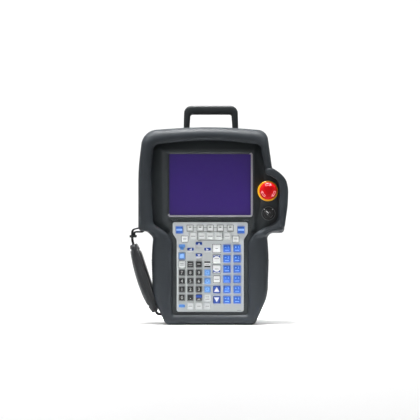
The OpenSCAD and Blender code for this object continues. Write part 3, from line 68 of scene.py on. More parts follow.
KEY_FACE = front_of("keypad_overlay")
KEY_SHEET_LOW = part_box("keypad_overlay")[0].z
KEY_SHEET_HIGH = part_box("keypad_overlay")[1].z
SAME_POINT = 1e-6
SCREEN_LAP = 0.003
SCREEN_BEVEL = 0.0032
STOP_AT = middle_of("estop_head")
KNOB_AT = middle_of("enable_ring")


# ---- Sizes and colours that a user would change ----


def length(name, description, default, low, high):
    """A size property in metres, with its least and greatest value."""
    return bpy.props.FloatProperty(
        name=name, description=description, default=default, min=low, max=high, unit="LENGTH")


class PendantSizes(bpy.types.PropertyGroup):
    """Sizes of the pieces that are added to the pendant."""

    key_lift: length(
        "Key lift", "How far a printed key face stands on its embossed key",
        0.00018, 0.00005, 0.0005)
    print_lift: length(
        "Print lift", "How far a printed mark stands on what carries it",
        0.00012, 0.00004, 0.0004)
    small_key: length("Small key", "Side of a key in the left block", 0.0104, 0.008, 0.0115)
    large_key: length("Large key", "Side of a key in the right block", 0.0125, 0.010, 0.0138)
    digit_height: length("Digit height", "Height of the numbers on the keys", 0.0052, 0.003, 0.008)
    stitch_length: length(
        "Stitch length", "Length of one stitch of the strap's thread",
        0.0032, 0.002, 0.005)
    pad_swell: length(
        "Pad swell", "The most that the strap's padding may swell",
        0.0016, 0.0, 0.004)
    # Width of the painted highlight along the right and lower sides of the screen, where the
    # frame's bevel catches the light.
    screen_edge: length(
        "Screen edge", "Width of the bare edge along two sides of the screen",
        0.0026, 0.0008, 0.003)
    camera_distance: length(
        "Camera distance", "Distance from the camera to the parting plane",
        1.9, 1.0, 4.0)


def colour(name, description, red, green, blue):
    """A colour property, given as the display shows it, from 0 to 255."""
    linear = [((c / 255 + 0.055) / 1.055) ** 2.4 if c > 10 else c / 255 / 12.92
              for c in (red, green, blue)]
    return bpy.props.FloatVectorProperty(
        name=name, description=description, subtype="COLOR", size=3, min=0, max=1, default=linear)


class PendantColours(bpy.types.PropertyGroup):
    """Colours of the pendant's finishes."""

    shell: colour("Shell", "Moulded shells of the body", 36, 40, 44)
    rear: colour("Rear shell", "Rear shell and cover", 35, 39, 42)
    recess: colour("Recess", "Panels inside the rim", 38, 42, 44)
    handle: colour("Handle", "Carrying handle", 24, 28, 30)
    rubber: colour("Rubber", "Ribbed strips and seals", 22, 23, 24)
    screen: colour("Screen", "Window over the display", 44, 27, 90)
    sheet: colour("Key sheet", "Ground of the keypad's overlay", 175, 179, 179)
    key_blue: colour("Blue keys", "Keys of the right block", 46, 98, 186)
    key_sky: colour("Sky blue keys", "Paler blue keys of the left block", 92, 142, 200)
    key_navy: colour("Arrow keys", "Caps of the arrow keys", 36, 70, 150)
    key_black: colour("Black keys", "Number keys", 24, 26, 28)
    key_white: colour("White keys", "White keys", 228, 230, 230)
    key_grey: colour("Grey keys", "Light grey keys", 204, 207, 207)
    digit: colour("Digits", "Numbers on the black keys", 196, 198, 196)
    # Painted highlight: light grey for the frame's bevel at the right and lower sides of the
    # screen, where it catches the light.
    edge: colour("Screen edge", "Bare edge along two sides of the screen", 122, 121, 127)
    line: colour("Printed lines", "Outlines printed round keys", 104, 107, 104)
    pale_print: colour("Pale print", "Pale marks on blue keys", 150, 188, 240)
    stop_red: colour("Stop button", "Red mushroom head", 174, 3, 8)
    stop_yellow: colour("Stop collar", "Yellow collar under the stop button", 240, 176, 20)
    strap: colour("Strap", "Padded cover of the hand strap", 20, 22, 24)
    webbing: colour("Webbing", "Woven tape of the hand strap", 22, 23, 25)
    floor: colour("Floor", "Pale floor and backdrop", 250, 250, 250)


def sizes():
    """The sizes that are set in the panel."""
    return bpy.context.scene.pendant_sizes


def tint(name):
    """A colour that is set in the panel."""
    return tuple(getattr(bpy.context.scene.pendant_colours, name))


# ---- Materials ----


class Link:
    """A socket in a material; arithmetic on it adds the Math nodes."""

    def __init__(self, finish, socket):
        self.finish = finish
        self.socket = socket

    def math(self, operation, *others):
        values = [other.socket if isinstance(other, Link) else other for other in others]
        return self.finish.node("ShaderNodeMath", {"operation": operation}, *values)

    def __add__(self, other):
        return self.math("ADD", self, other)

    def __radd__(self, other):
        return self.math("ADD", other, self)

    def __sub__(self, other):
        return self.math("SUBTRACT", self, other)

    def __rsub__(self, other):
        return self.math("SUBTRACT", other, self)

    def __mul__(self, other):
        return self.math("MULTIPLY", self, other)

    def __rmul__(self, other):
        return self.math("MULTIPLY", other, self)

    def __truediv__(self, other):
        return self.math("DIVIDE", self, other)

    def __rtruediv__(self, other):
        return self.math("DIVIDE", other, self)

    def clamp(self):
        return self.math("MINIMUM", self.math("MAXIMUM", self, 0.0), 1.0)

    def sine(self):
        return self.math("SINE", self)

    def absolute(self):
        return self.math("ABSOLUTE", self)

    def power(self, other):
        return self.math("POWER", self, other)


class Finish:
    """One material: a Principled shader and the nodes that feed it."""

    def __init__(self, name, **sockets):
        self.material = bpy.data.materials.new(name)
        self.material.use_nodes = True
        self.tree = self.material.node_tree
        self.shader = self.tree.nodes["Principled BSDF"]
        for key, value in sockets.items():
            label = key.replace("_", " ").title().replace("Ior", "IOR")
            self.shader.inputs[label].default_value = value
        self.place = self.node("ShaderNodeTexCoord", {}, output="Object")

    def node(self, kind, settings, *values, output=0, **named):
        """Adds a node, sets it up, fills its sockets and gives one of its outputs."""
        made = self.tree.nodes.new(kind)
        for key, value in settings.items():
            if key == "stops":
                self.fill_ramp(made.color_ramp, value)
            else:
                setattr(made, key, value)
        pairs = list(enumerate(values))
        pairs += [(key.replace("_", " "), value) for key, value in named.items()]
        for key, value in pairs:
            socket = made.inputs[key]
            if isinstance(value, Link):
                value = value.socket
            if isinstance(value, bpy.types.NodeSocket):
                self.tree.links.new(value, socket)
            else:
                socket.default_value = value
        return Link(self, made.outputs[output])

    @staticmethod
    def fill_ramp(ramp, stops):
        while len(ramp.elements) < len(stops):
            ramp.elements.new(0.5)
        for element, (place, value) in zip(ramp.elements, stops):
            element.position = place
            element.color = (value, value, value, 1)

    def noise(self, per_metre, detail=2.0, rough=0.5, at=None):
        return self.node(
            "ShaderNodeTexNoise", {}, Vector=at or self.place, Scale=per_metre,
            Detail=detail, Roughness=rough, output="Fac")

    def cells(self, per_metre, at=None):
        return self.node(
            "ShaderNodeTexVoronoi", {}, Vector=at or self.place, Scale=per_metre, output="Distance")

    def axes(self, at=None):
        """The three coordinates, each as a value in metres."""
        split = self.node("ShaderNodeSeparateXYZ", {}, at or self.place)
        outputs = split.socket.node.outputs
        return [Link(self, outputs[i]) for i in range(3)]

    def stretched(self, x, y, z):
        return self.node("ShaderNodeMapping", {}, Vector=self.place, Scale=(x, y, z))

    def ramp(self, value, stops):
        return self.node("ShaderNodeValToRGB", {"stops": stops}, value)

    def blend(self, share, low, high):
        """A colour between low and high."""
        ends = [c if isinstance(c, Link) else (*c[:3], 1.0) for c in (low, high)]
        mix = self.node("ShaderNodeMix", {"data_type": "RGBA"}, output=2)
        node = mix.socket.node
        self.tree.links.new(share.socket, node.inputs[0])
        for key, end in zip((6, 7), ends):
            if isinstance(end, Link):
                self.tree.links.new(end.socket, node.inputs[key])
            else:
                node.inputs[key].default_value = end
        return mix

    def feed(self, name, link):
        self.tree.links.new(link.socket, self.shader.inputs[name])

    def bump(self, height, depth, strength=1.0):
        self.feed("Normal", self.node(
            "ShaderNodeBump", {}, Strength=strength, Distance=depth, Height=height))


GRAINS_PER_METRE = 2600
THREADS_PER_METRE = 900


def scaled(rgb, factor):
    """A colour made darker or lighter."""
    return tuple(min(1.0, c * factor) for c in rgb[:3])


def moulded(name, rgb, roughness, grain=0.00004, gloss=0.35):
    """Moulded plastic with a spark-eroded grain, faint flow patches and rubbed highlights."""
    finish = Finish(name, roughness=roughness, specular_ior_level=gloss)
    patches = finish.noise(28, 3.0)
    pits = finish.noise(GRAINS_PER_METRE, 1.5, 0.6)
    specks = finish.noise(GRAINS_PER_METRE * 0.45, 2.0)
    share = (patches * 0.55 + specks * 0.45 - 0.25) * 1.6
    finish.feed("Base Color", finish.blend(share.clamp(), scaled(rgb, 0.84), scaled(rgb, 1.18)))
    rubbed = finish.ramp(finish.noise(16, 4.0, 0.7), [(0.35, 0.0), (0.75, 1.0)])
    finish.feed("Roughness", roughness + 0.07 - rubbed * 0.12 + specks * 0.05)
    finish.bump(pits, grain, 0.85)
    return finish.material


def rubbery(name, rgb):
    """Dull rubber with a little dust."""
    finish = Finish(name, roughness=0.78, specular_ior_level=0.28)
    dust = finish.noise(120, 4.0, 0.65)
    finish.feed("Base Color", finish.blend(
        finish.ramp(dust, [(0.4, 0.0), (0.8, 1.0)]), rgb, scaled(rgb, 1.9)))
    finish.feed("Roughness", 0.7 + dust * 0.2)
    finish.bump(finish.noise(3200, 1.0), 0.00003, 0.8)
    return finish.material


def metal(name, rgb, roughness=0.32, along=(60, 60, 2600)):
    """Metal with fine drawn lines and small tarnish spots."""
    finish = Finish(name, metallic=1.0, roughness=roughness)
    lines = finish.noise(1.0, 2.0, at=finish.stretched(*along))
    spots = finish.noise(240, 4.0, 0.7)
    finish.feed("Base Color", finish.blend(
        finish.ramp(spots, [(0.45, 0.0), (0.8, 1.0)]), rgb, scaled(rgb, 0.72)))
    finish.feed("Roughness", roughness - 0.06 + lines * 0.14 + spots * 0.06)
    finish.bump(lines, 0.00001, 0.5)
    return finish.material


def film(name, rgb, roughness=0.42, mottle=0.06):
    """Screen print on textured polyester film."""
    finish = Finish(name, roughness=roughness, specular_ior_level=0.4)
    cloud = finish.noise(90, 3.0)
    peel = finish.noise(1500, 1.0)
    share = (cloud * 0.7 + peel * 0.3).clamp()
    finish.feed("Base Color", finish.blend(share, scaled(rgb, 1 - mottle), scaled(rgb, 1 + mottle)))
    finish.feed("Roughness", roughness - 0.03 + peel * 0.08)
    finish.bump(peel, 0.000012, 0.8)
    return finish.material


def glossy(name, rgb, roughness, coat, gloss=0.5):
    """Smooth moulded plastic with a slight waviness and faint hairline scratches."""
    finish = Finish(name, roughness=roughness, coat_weight=coat, coat_roughness=0.08,
                    specular_ior_level=gloss)
    wave = finish.noise(55, 2.0)
    scratch = finish.ramp(
        finish.noise(1.0, 3.0, 0.6, finish.stretched(900, 900, 90)), [(0.62, 0.0), (0.72, 1.0)])
    finish.feed("Base Color", finish.blend(wave, scaled(rgb, 0.93), scaled(rgb, 1.07)))
    finish.feed("Roughness", roughness - 0.02 + wave * 0.05 + scratch * 0.12)
    finish.bump(wave, 0.00008, 0.4)
    return finish.material


def window_film(name, rgb):
    """Hard-coated window over a dark display: a deep tint, darkened towards its rim by painted
    shade where the raised frame stands over it.
    """
    finish = Finish(name, roughness=0.3, coat_weight=0.08, coat_roughness=0.05,
                    specular_ior_level=0.25)
    x, _, z = finish.axes()
    middle = middle_of("display_window")
    half = (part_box("display_window")[1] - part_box("display_window")[0]) / 2
    across = ((x - middle.x) / half.x).absolute()
    up = ((z - middle.z) / half.z).absolute()
    # Painted shade: the pane grows darker close to its rim, where the raised frame would cast
    # shade.
    rim = (across.power(9.0) * 0.5 + up.power(9.0) * 0.5).clamp()
    haze = finish.noise(14, 2.0)
    lit = finish.blend(haze, scaled(rgb, 0.95), scaled(rgb, 1.06))
    finish.feed("Base Color", finish.blend(rim, lit, scaled(rgb, 0.72)))
    finish.feed("Roughness", 0.28 + finish.noise(60, 3.0) * 0.06)
    return finish.material


def woven(name, rgb):
    """Plain weave that follows the piece's own map, with soft wear."""
    finish = Finish(name, roughness=0.86, specular_ior_level=0.22)
    chart = finish.node("ShaderNodeUVMap", {})
    u, v, _ = finish.axes(chart)
    turn = 2 * math.pi * THREADS_PER_METRE
    warp = (u * turn).sine()
    weft = (v * turn).sine()
    weave = ((warp * weft) * 0.5 + 0.5).clamp()
    wear = finish.noise(70, 4.0, 0.6)
    share = (weave * 0.55 + wear * 0.45).clamp()
    finish.feed("Base Color", finish.blend(share, scaled(rgb, 0.6), scaled(rgb, 1.5)))
    finish.feed("Roughness", 0.78 + wear * 0.16)
    finish.bump(weave + finish.noise(2400, 1.0) * 0.4, 0.00012, 0.9)
    return finish.material


def coated_cloth(name, rgb):
    """Coarse coated cloth of a padded cover."""
    finish = Finish(name, roughness=0.72, specular_ior_level=0.25,
                    sheen_weight=0.4, sheen_roughness=0.4)
    cloth = finish.cells(1500)
    creases = finish.noise(60, 5.0, 0.6)
    share = (cloth * 0.9 + creases * 0.5 - 0.1).clamp()
    finish.feed("Base Color", finish.blend(share, scaled(rgb, 0.65), scaled(rgb, 1.45)))
    finish.feed("Roughness", 0.62 + creases * 0.2)
    finish.bump(cloth * 0.7 + creases * 1.2, 0.00016, 0.8)
    return finish.material


def circuit(name):
    """Solder mask over traces."""
    finish = Finish(name, roughness=0.35, specular_ior_level=0.5)
    traces = finish.ramp(finish.cells(160), [(0.3, 0.0), (0.36, 1.0)])
    finish.feed("Base Color", finish.blend(traces, (0.01, 0.09, 0.035), (0.02, 0.16, 0.06)))
    finish.bump(traces, 0.00004, 0.6)
    return finish.material


def floor_paint(name, rgb):
    """Plain matt floor."""
    finish = Finish(name, roughness=0.6, specular_ior_level=0.2)
    cloud = finish.noise(1.2, 2.0)
    finish.feed("Base Color", finish.blend(cloud, scaled(rgb, 0.985), rgb))
    finish.feed("Roughness", 0.55 + cloud * 0.1)
    return finish.material


def material(name):
    return bpy.data.materials[name]


# ---- Modelling ----


def leave_edit_mode():
    if bpy.context.object and bpy.context.object.mode != "OBJECT":
        bpy.ops.object.mode_set(mode="OBJECT")


def clear_selection():
    leave_edit_mode()
    bpy.ops.object.select_all(action="DESELECT")


def choose(*objects):
    clear_selection()
    for each in objects:
        each.select_set(True)
    bpy.context.view_layer.objects.active = objects[0]


def latest():
    return bpy.context.object


@contextmanager
def editing(piece, mode="FACE"):
    """Edit mode on one piece, with its mesh as a bmesh for selecting in."""
    choose(piece)
    bpy.ops.object.mode_set(mode="EDIT")
    bpy.ops.mesh.select_mode(type=mode)
    bpy.ops.mesh.select_all(action="DESELECT")
    yield bmesh.from_edit_mesh(piece.data)
    bpy.ops.object.mode_set(mode="OBJECT")


@contextmanager
def editing_all(piece, mode="FACE"):
    """Edit mode on one piece, with all of it selected."""
    with editing(piece, mode):
        bpy.ops.mesh.select_all(action="SELECT")
        yield


def face_outwards():
    """In edit mode, points every face of the piece outwards."""
    bpy.ops.mesh.select_all(action="SELECT")
    bpy.ops.mesh.normals_make_consistent(inside=False)


def select(mesh, kind, test):
    """Selects the faces, edges or verts of an edit mesh that pass a test."""
    for element in getattr(mesh, kind):
        if test(element):
            element.select_set(True)
    mesh.select_flush(True)


def along_y(edge):
    run = edge.verts[0].co - edge.verts[1].co
    return abs(run.y) > 0.9 * run.length


def facing_front(face):
    return face.normal.y < -0.9


def settle(piece):
    """Puts the piece's place, turn and size into its mesh."""
    choose(piece)
    bpy.ops.object.transform_apply(location=True, rotation=True, scale=True)
    return piece


def placed(piece, x=0.0, y=0.0, z=0.0, turn=0.0):
    """Turns a piece by degrees, anticlockwise from the front, and then moves it."""
    piece.rotation_euler = (0, -math.radians(turn), 0)
    settle(piece)
    piece.location = (x, y, z)
    return settle(piece)


def copied(piece, x, z):
    """A copy of a piece at the origin, with its own mesh, moved to a place."""
    choose(piece)
    bpy.ops.object.duplicate(linked=False)
    return placed(latest(), x, 0, z)


def reach(piece, axis):
    """The least and greatest place of the piece's points along an axis."""
    places = [vert.co[axis] for vert in piece.data.vertices]
    return min(places), max(places)


def joined(pieces, name):
    """Makes one piece of several."""
    choose(*pieces)
    if len(pieces) > 1:
        bpy.ops.object.join()
    whole = latest()
    whole.name = name
    whole.data.name = name
    return settle(whole)


def modified(piece, kind, **settings):
    """Adds a modifier, sets it up and applies it."""
    choose(piece)
    bpy.ops.object.modifier_add(type=kind)
    modifier = piece.modifiers[-1]
    for key, value in settings.items():
        setattr(modifier, key, value)
    bpy.ops.object.modifier_apply(modifier=modifier.name)
    return piece


def shaded(piece, angle):
    """Smooth shading, with sharp edges above an angle in degrees."""
    choose(piece)
    bpy.ops.object.shade_smooth_by_angle(angle=math.radians(angle))
    return piece


def finished(piece, name, body, finish):
    """Names the piece, gives it its finish and puts it on its body."""
    settle(piece)
    piece.name = name
    piece.data.name = name
    piece.data.materials.clear()
    piece.data.materials.append(material(finish))
    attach(piece, body)
    return piece


def plate(x, z, width, height, back, front, corner=0.0, edge=0.0):
    """A flat plate facing the front, with rounded corners and a softened front edge."""
    bpy.ops.mesh.primitive_cube_add(size=1, location=(x, -(back + front) / 2, z))
    piece = latest()
    piece.scale = (width, front - back, height)
    settle(piece)
    if corner:
        with editing(piece, "EDGE") as mesh:
            select(mesh, "edges", along_y)
            bpy.ops.mesh.bevel(offset=corner, segments=4, affect="EDGES")
    if edge:
        with editing(piece, "FACE") as mesh:
            select(mesh, "faces", facing_front)
            bpy.ops.mesh.inset(thickness=edge)
            bpy.ops.transform.translate(value=(0, -edge * 0.6, 0))
    return piece


def disc(x, z, radius, back, front, sides):
    """A flat round solid facing the front."""
    bpy.ops.mesh.primitive_cylinder_add(
        vertices=sides, radius=radius, depth=front - back,
        location=(x, -(back + front) / 2, z), rotation=(math.pi / 2, 0, 0))
    return settle(latest())


def hoop(x, z, outer, inner, back, front, sides=48):
    """A flat ring facing the front."""
    bpy.ops.mesh.primitive_circle_add(
        vertices=sides, radius=outer, fill_type="NGON", location=(x, -back, z),
        rotation=(math.pi / 2, 0, 0))
    piece = settle(latest())
    with editing_all(piece):
        bpy.ops.mesh.inset(thickness=outer - inner)
        bpy.ops.mesh.delete(type="FACE")
    return thickened(piece, front - back)


def thickened(piece, thickness):
    """Pulls a flat sheet that faces the front out to a solid, or turns it to the front."""
    with editing(piece) as mesh:
        mesh.faces.ensure_lookup_table()
        backward = mesh.faces[0].normal.y > 0
        bpy.ops.mesh.select_all(action="SELECT")
        if backward:
            bpy.ops.mesh.flip_normals()
        if thickness:
            bpy.ops.mesh.extrude_region_move(
                TRANSFORM_OT_translate={"value": (0, -thickness, 0)})
            face_outwards()
    return piece


def wedge(x, z, width, height, back, front, turn=0.0):
    """A flat triangle that points up, or turned anticlockwise by degrees."""
    bpy.ops.mesh.primitive_circle_add(
        vertices=3, radius=1, fill_type="NGON", rotation=(math.pi / 2, 0, 0))
    piece = settle(latest())
    with editing_all(piece, "VERT"):
        bpy.ops.transform.resize(value=(width / math.sqrt(3), 1, height / 1.5))
    low, high = reach(piece, 2)
    placed(piece, z=-(low + high) / 2)
    return thickened(placed(piece, x, -back, z, turn), front - back)


def bow(x, z, radius, width, start, sweep, back, front, steps=14):
    """A flat arc facing the front, from an angle in degrees, anticlockwise."""
    bpy.ops.mesh.primitive_plane_add(size=1, rotation=(math.pi / 2, 0, 0))
    piece = settle(latest())
    piece.scale = (width, 1, 0)
    piece.location = (radius, 0, 0)
    settle(piece)
    with editing_all(piece, "VERT"):
        bpy.ops.mesh.remove_doubles(threshold=SAME_POINT)
        bpy.ops.mesh.select_mode(type="EDGE")
        bpy.ops.mesh.select_all(action="SELECT")
        bpy.ops.mesh.spin(
            steps=steps, angle=math.radians(sweep), center=(0, 0, 0), axis=(0, 1, 0))
    return thickened(placed(piece, x, -back, z, start), front - back)


# The font's size for one unit of digit height, and how much its strokes are fattened
FONT_RATIO = 1.36
FONT_WEIGHT = 0.012


def figure(text, x, z, height, back, front):
    """A generic number or sign as a flat solid facing the front, centred on its place."""
    bpy.ops.object.text_add(location=(0, 0, 0), rotation=(math.pi / 2, 0, 0))
    piece = latest()
    piece.data.body = text
    piece.data.size = height * FONT_RATIO
    piece.data.align_x = "CENTER"
    piece.data.resolution_u = 3
    piece.data.offset = height * FONT_WEIGHT
    choose(piece)
    bpy.ops.object.convert(target="MESH")
    piece = settle(latest())
    left, right = reach(piece, 0)
    low, high = reach(piece, 2)
    placed(piece, x - (left + right) / 2, -back, z - (low + high) / 2)
    return thickened(piece, front - back)


def wire(points):
    """One row of edges through points."""
    bpy.ops.mesh.primitive_plane_add(size=1)
    piece = latest()
    with editing_all(piece, "VERT"):
        bpy.ops.mesh.merge(type="CENTER")
    piece.data.vertices[0].co = points[0]
    with editing_all(piece, "VERT"):
        for before, after in zip(points, points[1:]):
            bpy.ops.mesh.extrude_region_move(TRANSFORM_OT_translate={
                "value": [b - a for a, b in zip(before, after)]})
    return piece


def traced(corners, back, front, edge):
    """A plate facing the front, from corners of X, Z and rounding, with a rounded front edge."""
    piece = wire([(x, -back, z) for x, z, _ in corners])
    with editing_all(piece, "VERT"):
        bpy.ops.mesh.edge_face_add()
    for x, z, rounding in corners:
        with editing(piece, "VERT") as mesh:
            select(mesh, "verts", lambda vert: math.hypot(vert.co.x - x, vert.co.z - z) < 1e-5)
            bpy.ops.mesh.bevel(offset=rounding, segments=4, affect="VERTICES")
    thickened(piece, front - back)
    with editing(piece, "EDGE") as mesh:
        select(mesh, "edges", lambda line: all(vert.co.y < 1e-5 - front for vert in line.verts))
        bpy.ops.mesh.bevel(offset=edge, segments=3, affect="EDGES")
    return piece


def spun(profile, x, z, steps):
    """A solid of revolution about the front-to-back axis, from points of radius and reach."""
    piece = wire([(radius, -reach, 0) for radius, reach in profile])
    with editing_all(piece, "VERT"):
        bpy.ops.mesh.spin(steps=steps, angle=2 * math.pi, center=(0, 0, 0), axis=(0, -1, 0))
        bpy.ops.mesh.select_all(action="SELECT")
        bpy.ops.mesh.remove_doubles(threshold=SAME_POINT)
        face_outwards()
    return placed(piece, x, 0, z)


# ---- Operators ----


class PendantFinishes(bpy.types.Operator):
    """Gives every part of the pendant its finish"""

    bl_idname = "pendant.finishes"
    bl_label = "Finishes"

    def execute(self, context):
        moulded("shell_plastic", tint("shell"), 0.5, gloss=0.2)
        moulded("rear_plastic", tint("rear"), 0.56, gloss=0.2)
        moulded("recess_plastic", tint("recess"), 0.46, grain=0.00002, gloss=0.25)
        moulded("handle_plastic", tint("handle"), 0.48, grain=0.00003, gloss=0.25)
        moulded("paddle_plastic", scaled(tint("shell"), 2.4), 0.5)
        moulded("switch_plastic", scaled(tint("rubber"), 1.2), 0.5, grain=0.00002)
        moulded("contact_plastic", (0.22, 0.225, 0.23), 0.5)
        rubbery("strip_rubber", tint("rubber"))
        window_film("screen_window", tint("screen"))
        film("key_sheet", tint("sheet"), 0.5, 0.04)
        for name in ("key_blue", "key_sky", "key_navy", "key_black", "key_white", "key_grey"):
            film(name, tint(name), 0.4)
        film("printed_line", tint("line"), 0.45)
        film("pale_print", tint("pale_print"), 0.45)
        film("stop_print", (0.74, 0.26, 0.3), 0.4)
        film("digit_print", tint("digit"), 0.45)
        # Painted highlight for the lit bevel along two sides of the screen.
        moulded("bare_edge", tint("edge"), 0.36, grain=0.00001, gloss=0.5)
        glossy("stop_red", tint("stop_red"), 0.4, 0.03, 0.12)
        glossy("stop_dark_red", scaled(tint("stop_red"), 0.78), 0.45, 0.0, 0.1)
        glossy("stop_yellow", tint("stop_yellow"), 0.3, 0.3)
        glossy("knob_plastic", tint("rubber"), 0.3, 0.25)
        metal("screw_metal", (0.42, 0.42, 0.43), 0.34)
        metal("plate_metal", (0.6, 0.61, 0.62), 0.38)
        metal("inlet_metal", (0.33, 0.335, 0.34), 0.36, (2600, 2600, 60))
        metal("anchor_metal", (0.16, 0.165, 0.17), 0.45)
        metal("contact_metal", (0.72, 0.5, 0.18), 0.25)
        coated_cloth("pad_cloth", tint("strap"))
        woven("strap_webbing", tint("webbing"))
        coated_cloth("strap_binding", scaled(tint("strap"), 0.7))
        rubbery("thread", scaled(tint("webbing"), 2.2))
        circuit("board_mask")
        floor_paint("floor_paint", tint("floor"))
        worn = {
            "shell_plastic": ["front_housing"],
            "rear_plastic": ["rear_housing", "rear_cover"],
            "recess_plastic": ["display_panel", "keypad_frame"],
            "handle_plastic": ["handle"],
            "paddle_plastic": ["deadman_right", "deadman_left"],
            "switch_plastic": [
                "estop_barrel", "enable_switch_body", "deadman_right_switch",
                "deadman_left_switch", "board_components", "connector_insert",
                "estop_stem", "strap_slider", "enable_ring"],
            "contact_plastic": [
                "estop_contact_block", "deadman_right_plunger", "deadman_left_plunger"],
            "strip_rubber": ["housing_gasket", "window_seal", "grip_ribs"],
            "screen_window": ["display_window"],
            "key_sheet": ["keypad_overlay", "keypad_membrane"],
            "stop_red": ["estop_head"],
            "stop_yellow": ["estop_collar"],
            "knob_plastic": ["enable_knob"],
            "screw_metal": [
                "rear_cover_screws", "panel_screws", "lcd_screws", "board_standoffs",
                "board_screws", "keypad_screws", "handle_screws", "case_screws",
                "connector_screws", "estop_nut", "enable_nut",
                "enable_shaft", "deadman_right_pin", "deadman_left_pin", "estop_spring",
                "deadman_right_spring", "deadman_left_spring"],
            "plate_metal": ["lcd_module", "lcd_bracket", "keypad_backing_plate", "keypad_domes"],
            "inlet_metal": ["connector_shell"],
            "anchor_metal": ["strap_upper_anchor", "strap_lower_anchor"],
            "contact_metal": ["connector_pins"],
            "pad_cloth": ["strap_pad"],
            "strap_webbing": ["strap_upper_webbing", "strap_lower_webbing"],
            "board_mask": ["main_board"],
        }
        for finish, names in worn.items():
            for name in names:
                mesh = NODES[name].data
                mesh.materials.clear()
                mesh.materials.append(material(finish))
        return {"FINISHED"}


class PendantStage(bpy.types.Operator):
    """Adds the floor, the lights and the camera"""

    bl_idname = "pendant.stage"
    bl_label = "Stage"

    def execute(self, context):
        clear_selection()
        floor_size, wall_height, sweep_radius = 9, 6, 1.6
        bpy.ops.mesh.primitive_plane_add(size=floor_size, location=(0, -0.5, 0))
        floor = settle(latest())
        with editing(floor, "EDGE") as mesh:
            select(mesh, "edges", lambda edge: all(vert.co.y > 1 for vert in edge.verts))
            bpy.ops.mesh.extrude_region_move(
                TRANSFORM_OT_translate={"value": (0, 0, wall_height)})
        with editing(floor, "EDGE") as mesh:
            select(mesh, "edges", lambda edge: all(
                vert.co.y > 1 and abs(vert.co.z) < 0.01 for vert in edge.verts))
            bpy.ops.mesh.bevel(offset=sweep_radius, segments=24, affect="EDGES")
        shaded(floor, 60)
        floor.name = "floor"
        floor.data.materials.append(material("floor_paint"))

        world = bpy.data.worlds.new("studio")
        context.scene.world = world
        world.use_nodes = True
        ground = world.node_tree.nodes["Background"]
        ground.inputs["Color"].default_value = (1.0, 1.0, 1.0, 1)
        ground.inputs["Strength"].default_value = 0.3

        def lamp(name, place, aim, size, power, spread=180):
            bpy.ops.object.light_add(type="AREA", location=place)
            light = latest()
            light.name = name
            light.data.shape = "RECTANGLE"
            light.data.size, light.data.size_y = size
            light.data.energy = power
            light.data.spread = math.radians(spread)
            towards = Vector(aim) - Vector(place)
            light.rotation_euler = towards.to_track_quat("-Z", "Y").to_euler()

        # Name, place, aim, size, power and, for a narrow beam, its spread
        lamp("overhead_light", (-0.2, -0.12, 1.7), (0, 0, 0.2), (1.8, 0.8), 20)
        lamp("top_light", (-0.15, -0.2, 1.9), (0, -0.02, 0.3), (0.4, 0.25), 3.1, 30)
        lamp("left_light", (-1.6, -1.3, 1.1), (0, 0, 0.2), (0.8, 1.4), 12.8)
        lamp("right_light", (1.9, -1.0, 0.8), (0, 0, 0.2), (0.6, 1.2), 2)
        lamp("backdrop_light", (0, 1.2, 3.0), (0, 3.6, 0.7), (4.0, 1.0), 90)

        distance = sizes().camera_distance
        aside, height, view_width = -0.0003, 0.184, 0.672
        bpy.ops.object.camera_add(
            location=(aside, -distance, height), rotation=(math.pi / 2, 0, 0))
        camera = latest()
        camera.name = "camera"
        camera.data.sensor_width = 36
        camera.data.lens = 36 * (distance - 0.02) / view_width
        camera.data.clip_end = 30
        context.scene.camera = camera
        context.scene.view_settings.view_transform = "Standard"
        return {"FINISHED"}


# Rows and columns of the keypad, from its sheet's corners
KEY_BACK = KEY_FACE - 0.0003
SHEET_FACE = KEY_FACE - 0.0008
KEY_CORNER = 0.0013
KEY_EDGE = 0.0002
PRINT_SINK = 0.0001
COLUMN_PITCH = 0.0136
ROW_PITCH = 0.01332
RIGHT_PITCH = 0.0164
FUNCTION_PITCH = 0.0161
BADGE_DROP = 0.0143
ARROW_RISE = 0.0092
LEFT_X = [-0.0453 + COLUMN_PITCH * column for column in range(4)]
LEFT_Z = [KEY_SHEET_LOW + 0.0093 + ROW_PITCH * row for row in range(6)]
SHIELD_Z = LEFT_Z[5] + 2 * BADGE_DROP - 0.00098
BADGE_Z = SHIELD_Z - BADGE_DROP
RIGHT_X = [0.0104 + RIGHT_PITCH * column for column in range(3)]
RIGHT_Z = [KEY_SHEET_LOW + 0.0192 + RIGHT_PITCH * row for row in range(6)]
CORNER_X = 0.0494
SIDE_X = 0.0408
TOP_ROW_Z = KEY_SHEET_HIGH - 0.0121
FUNCTION_Z = TOP_ROW_Z + 0.0025
THIRD_ROW_Z = TOP_ROW_Z - 0.0098
SIDE_KEY_Z = THIRD_ROW_Z - 0.0049
ARROW_X = LEFT_X[0] + 0.0274
ARROW_Z = THIRD_ROW_Z - 0.0228
FUNCTION_X = [FUNCTION_PITCH * place for place in range(-2, 3)]
THIRD_X = [COLUMN_PITCH * place for place in range(-2, 3)]


def print_band(level=0):
    """Back and front of a mark printed on a key face, or over other marks."""
    face = KEY_FACE + sizes().key_lift
    lift = sizes().print_lift
    return face - PRINT_SINK, face + lift * (1 + level)


def mirrored(x, z):
    """The same place at both sides of the middle."""
    return [(-x, z), (x, z)]


def key_faces(name, finish, width, height, spots):
    """One printed face modelled and copied to every key of its kind."""
    face = KEY_FACE + sizes().key_lift
    first = plate(0, 0, width, height, KEY_BACK, face - KEY_EDGE * 0.6, KEY_CORNER, KEY_EDGE)
    copies = [copied(first, x, z) for x, z in spots]
    bpy.data.objects.remove(first)
    piece = shaded(joined(copies, name), 30)
    return finished(piece, name, "housing", finish)


def bar(x, z, width, height, level=0):
    """A printed bar with slightly rounded corners."""
    return plate(x, z, width, height, *print_band(level), min(width, height) * 0.18)


def bars(spots, width, height):
    return [bar(x, z, width, height) for x, z in spots]


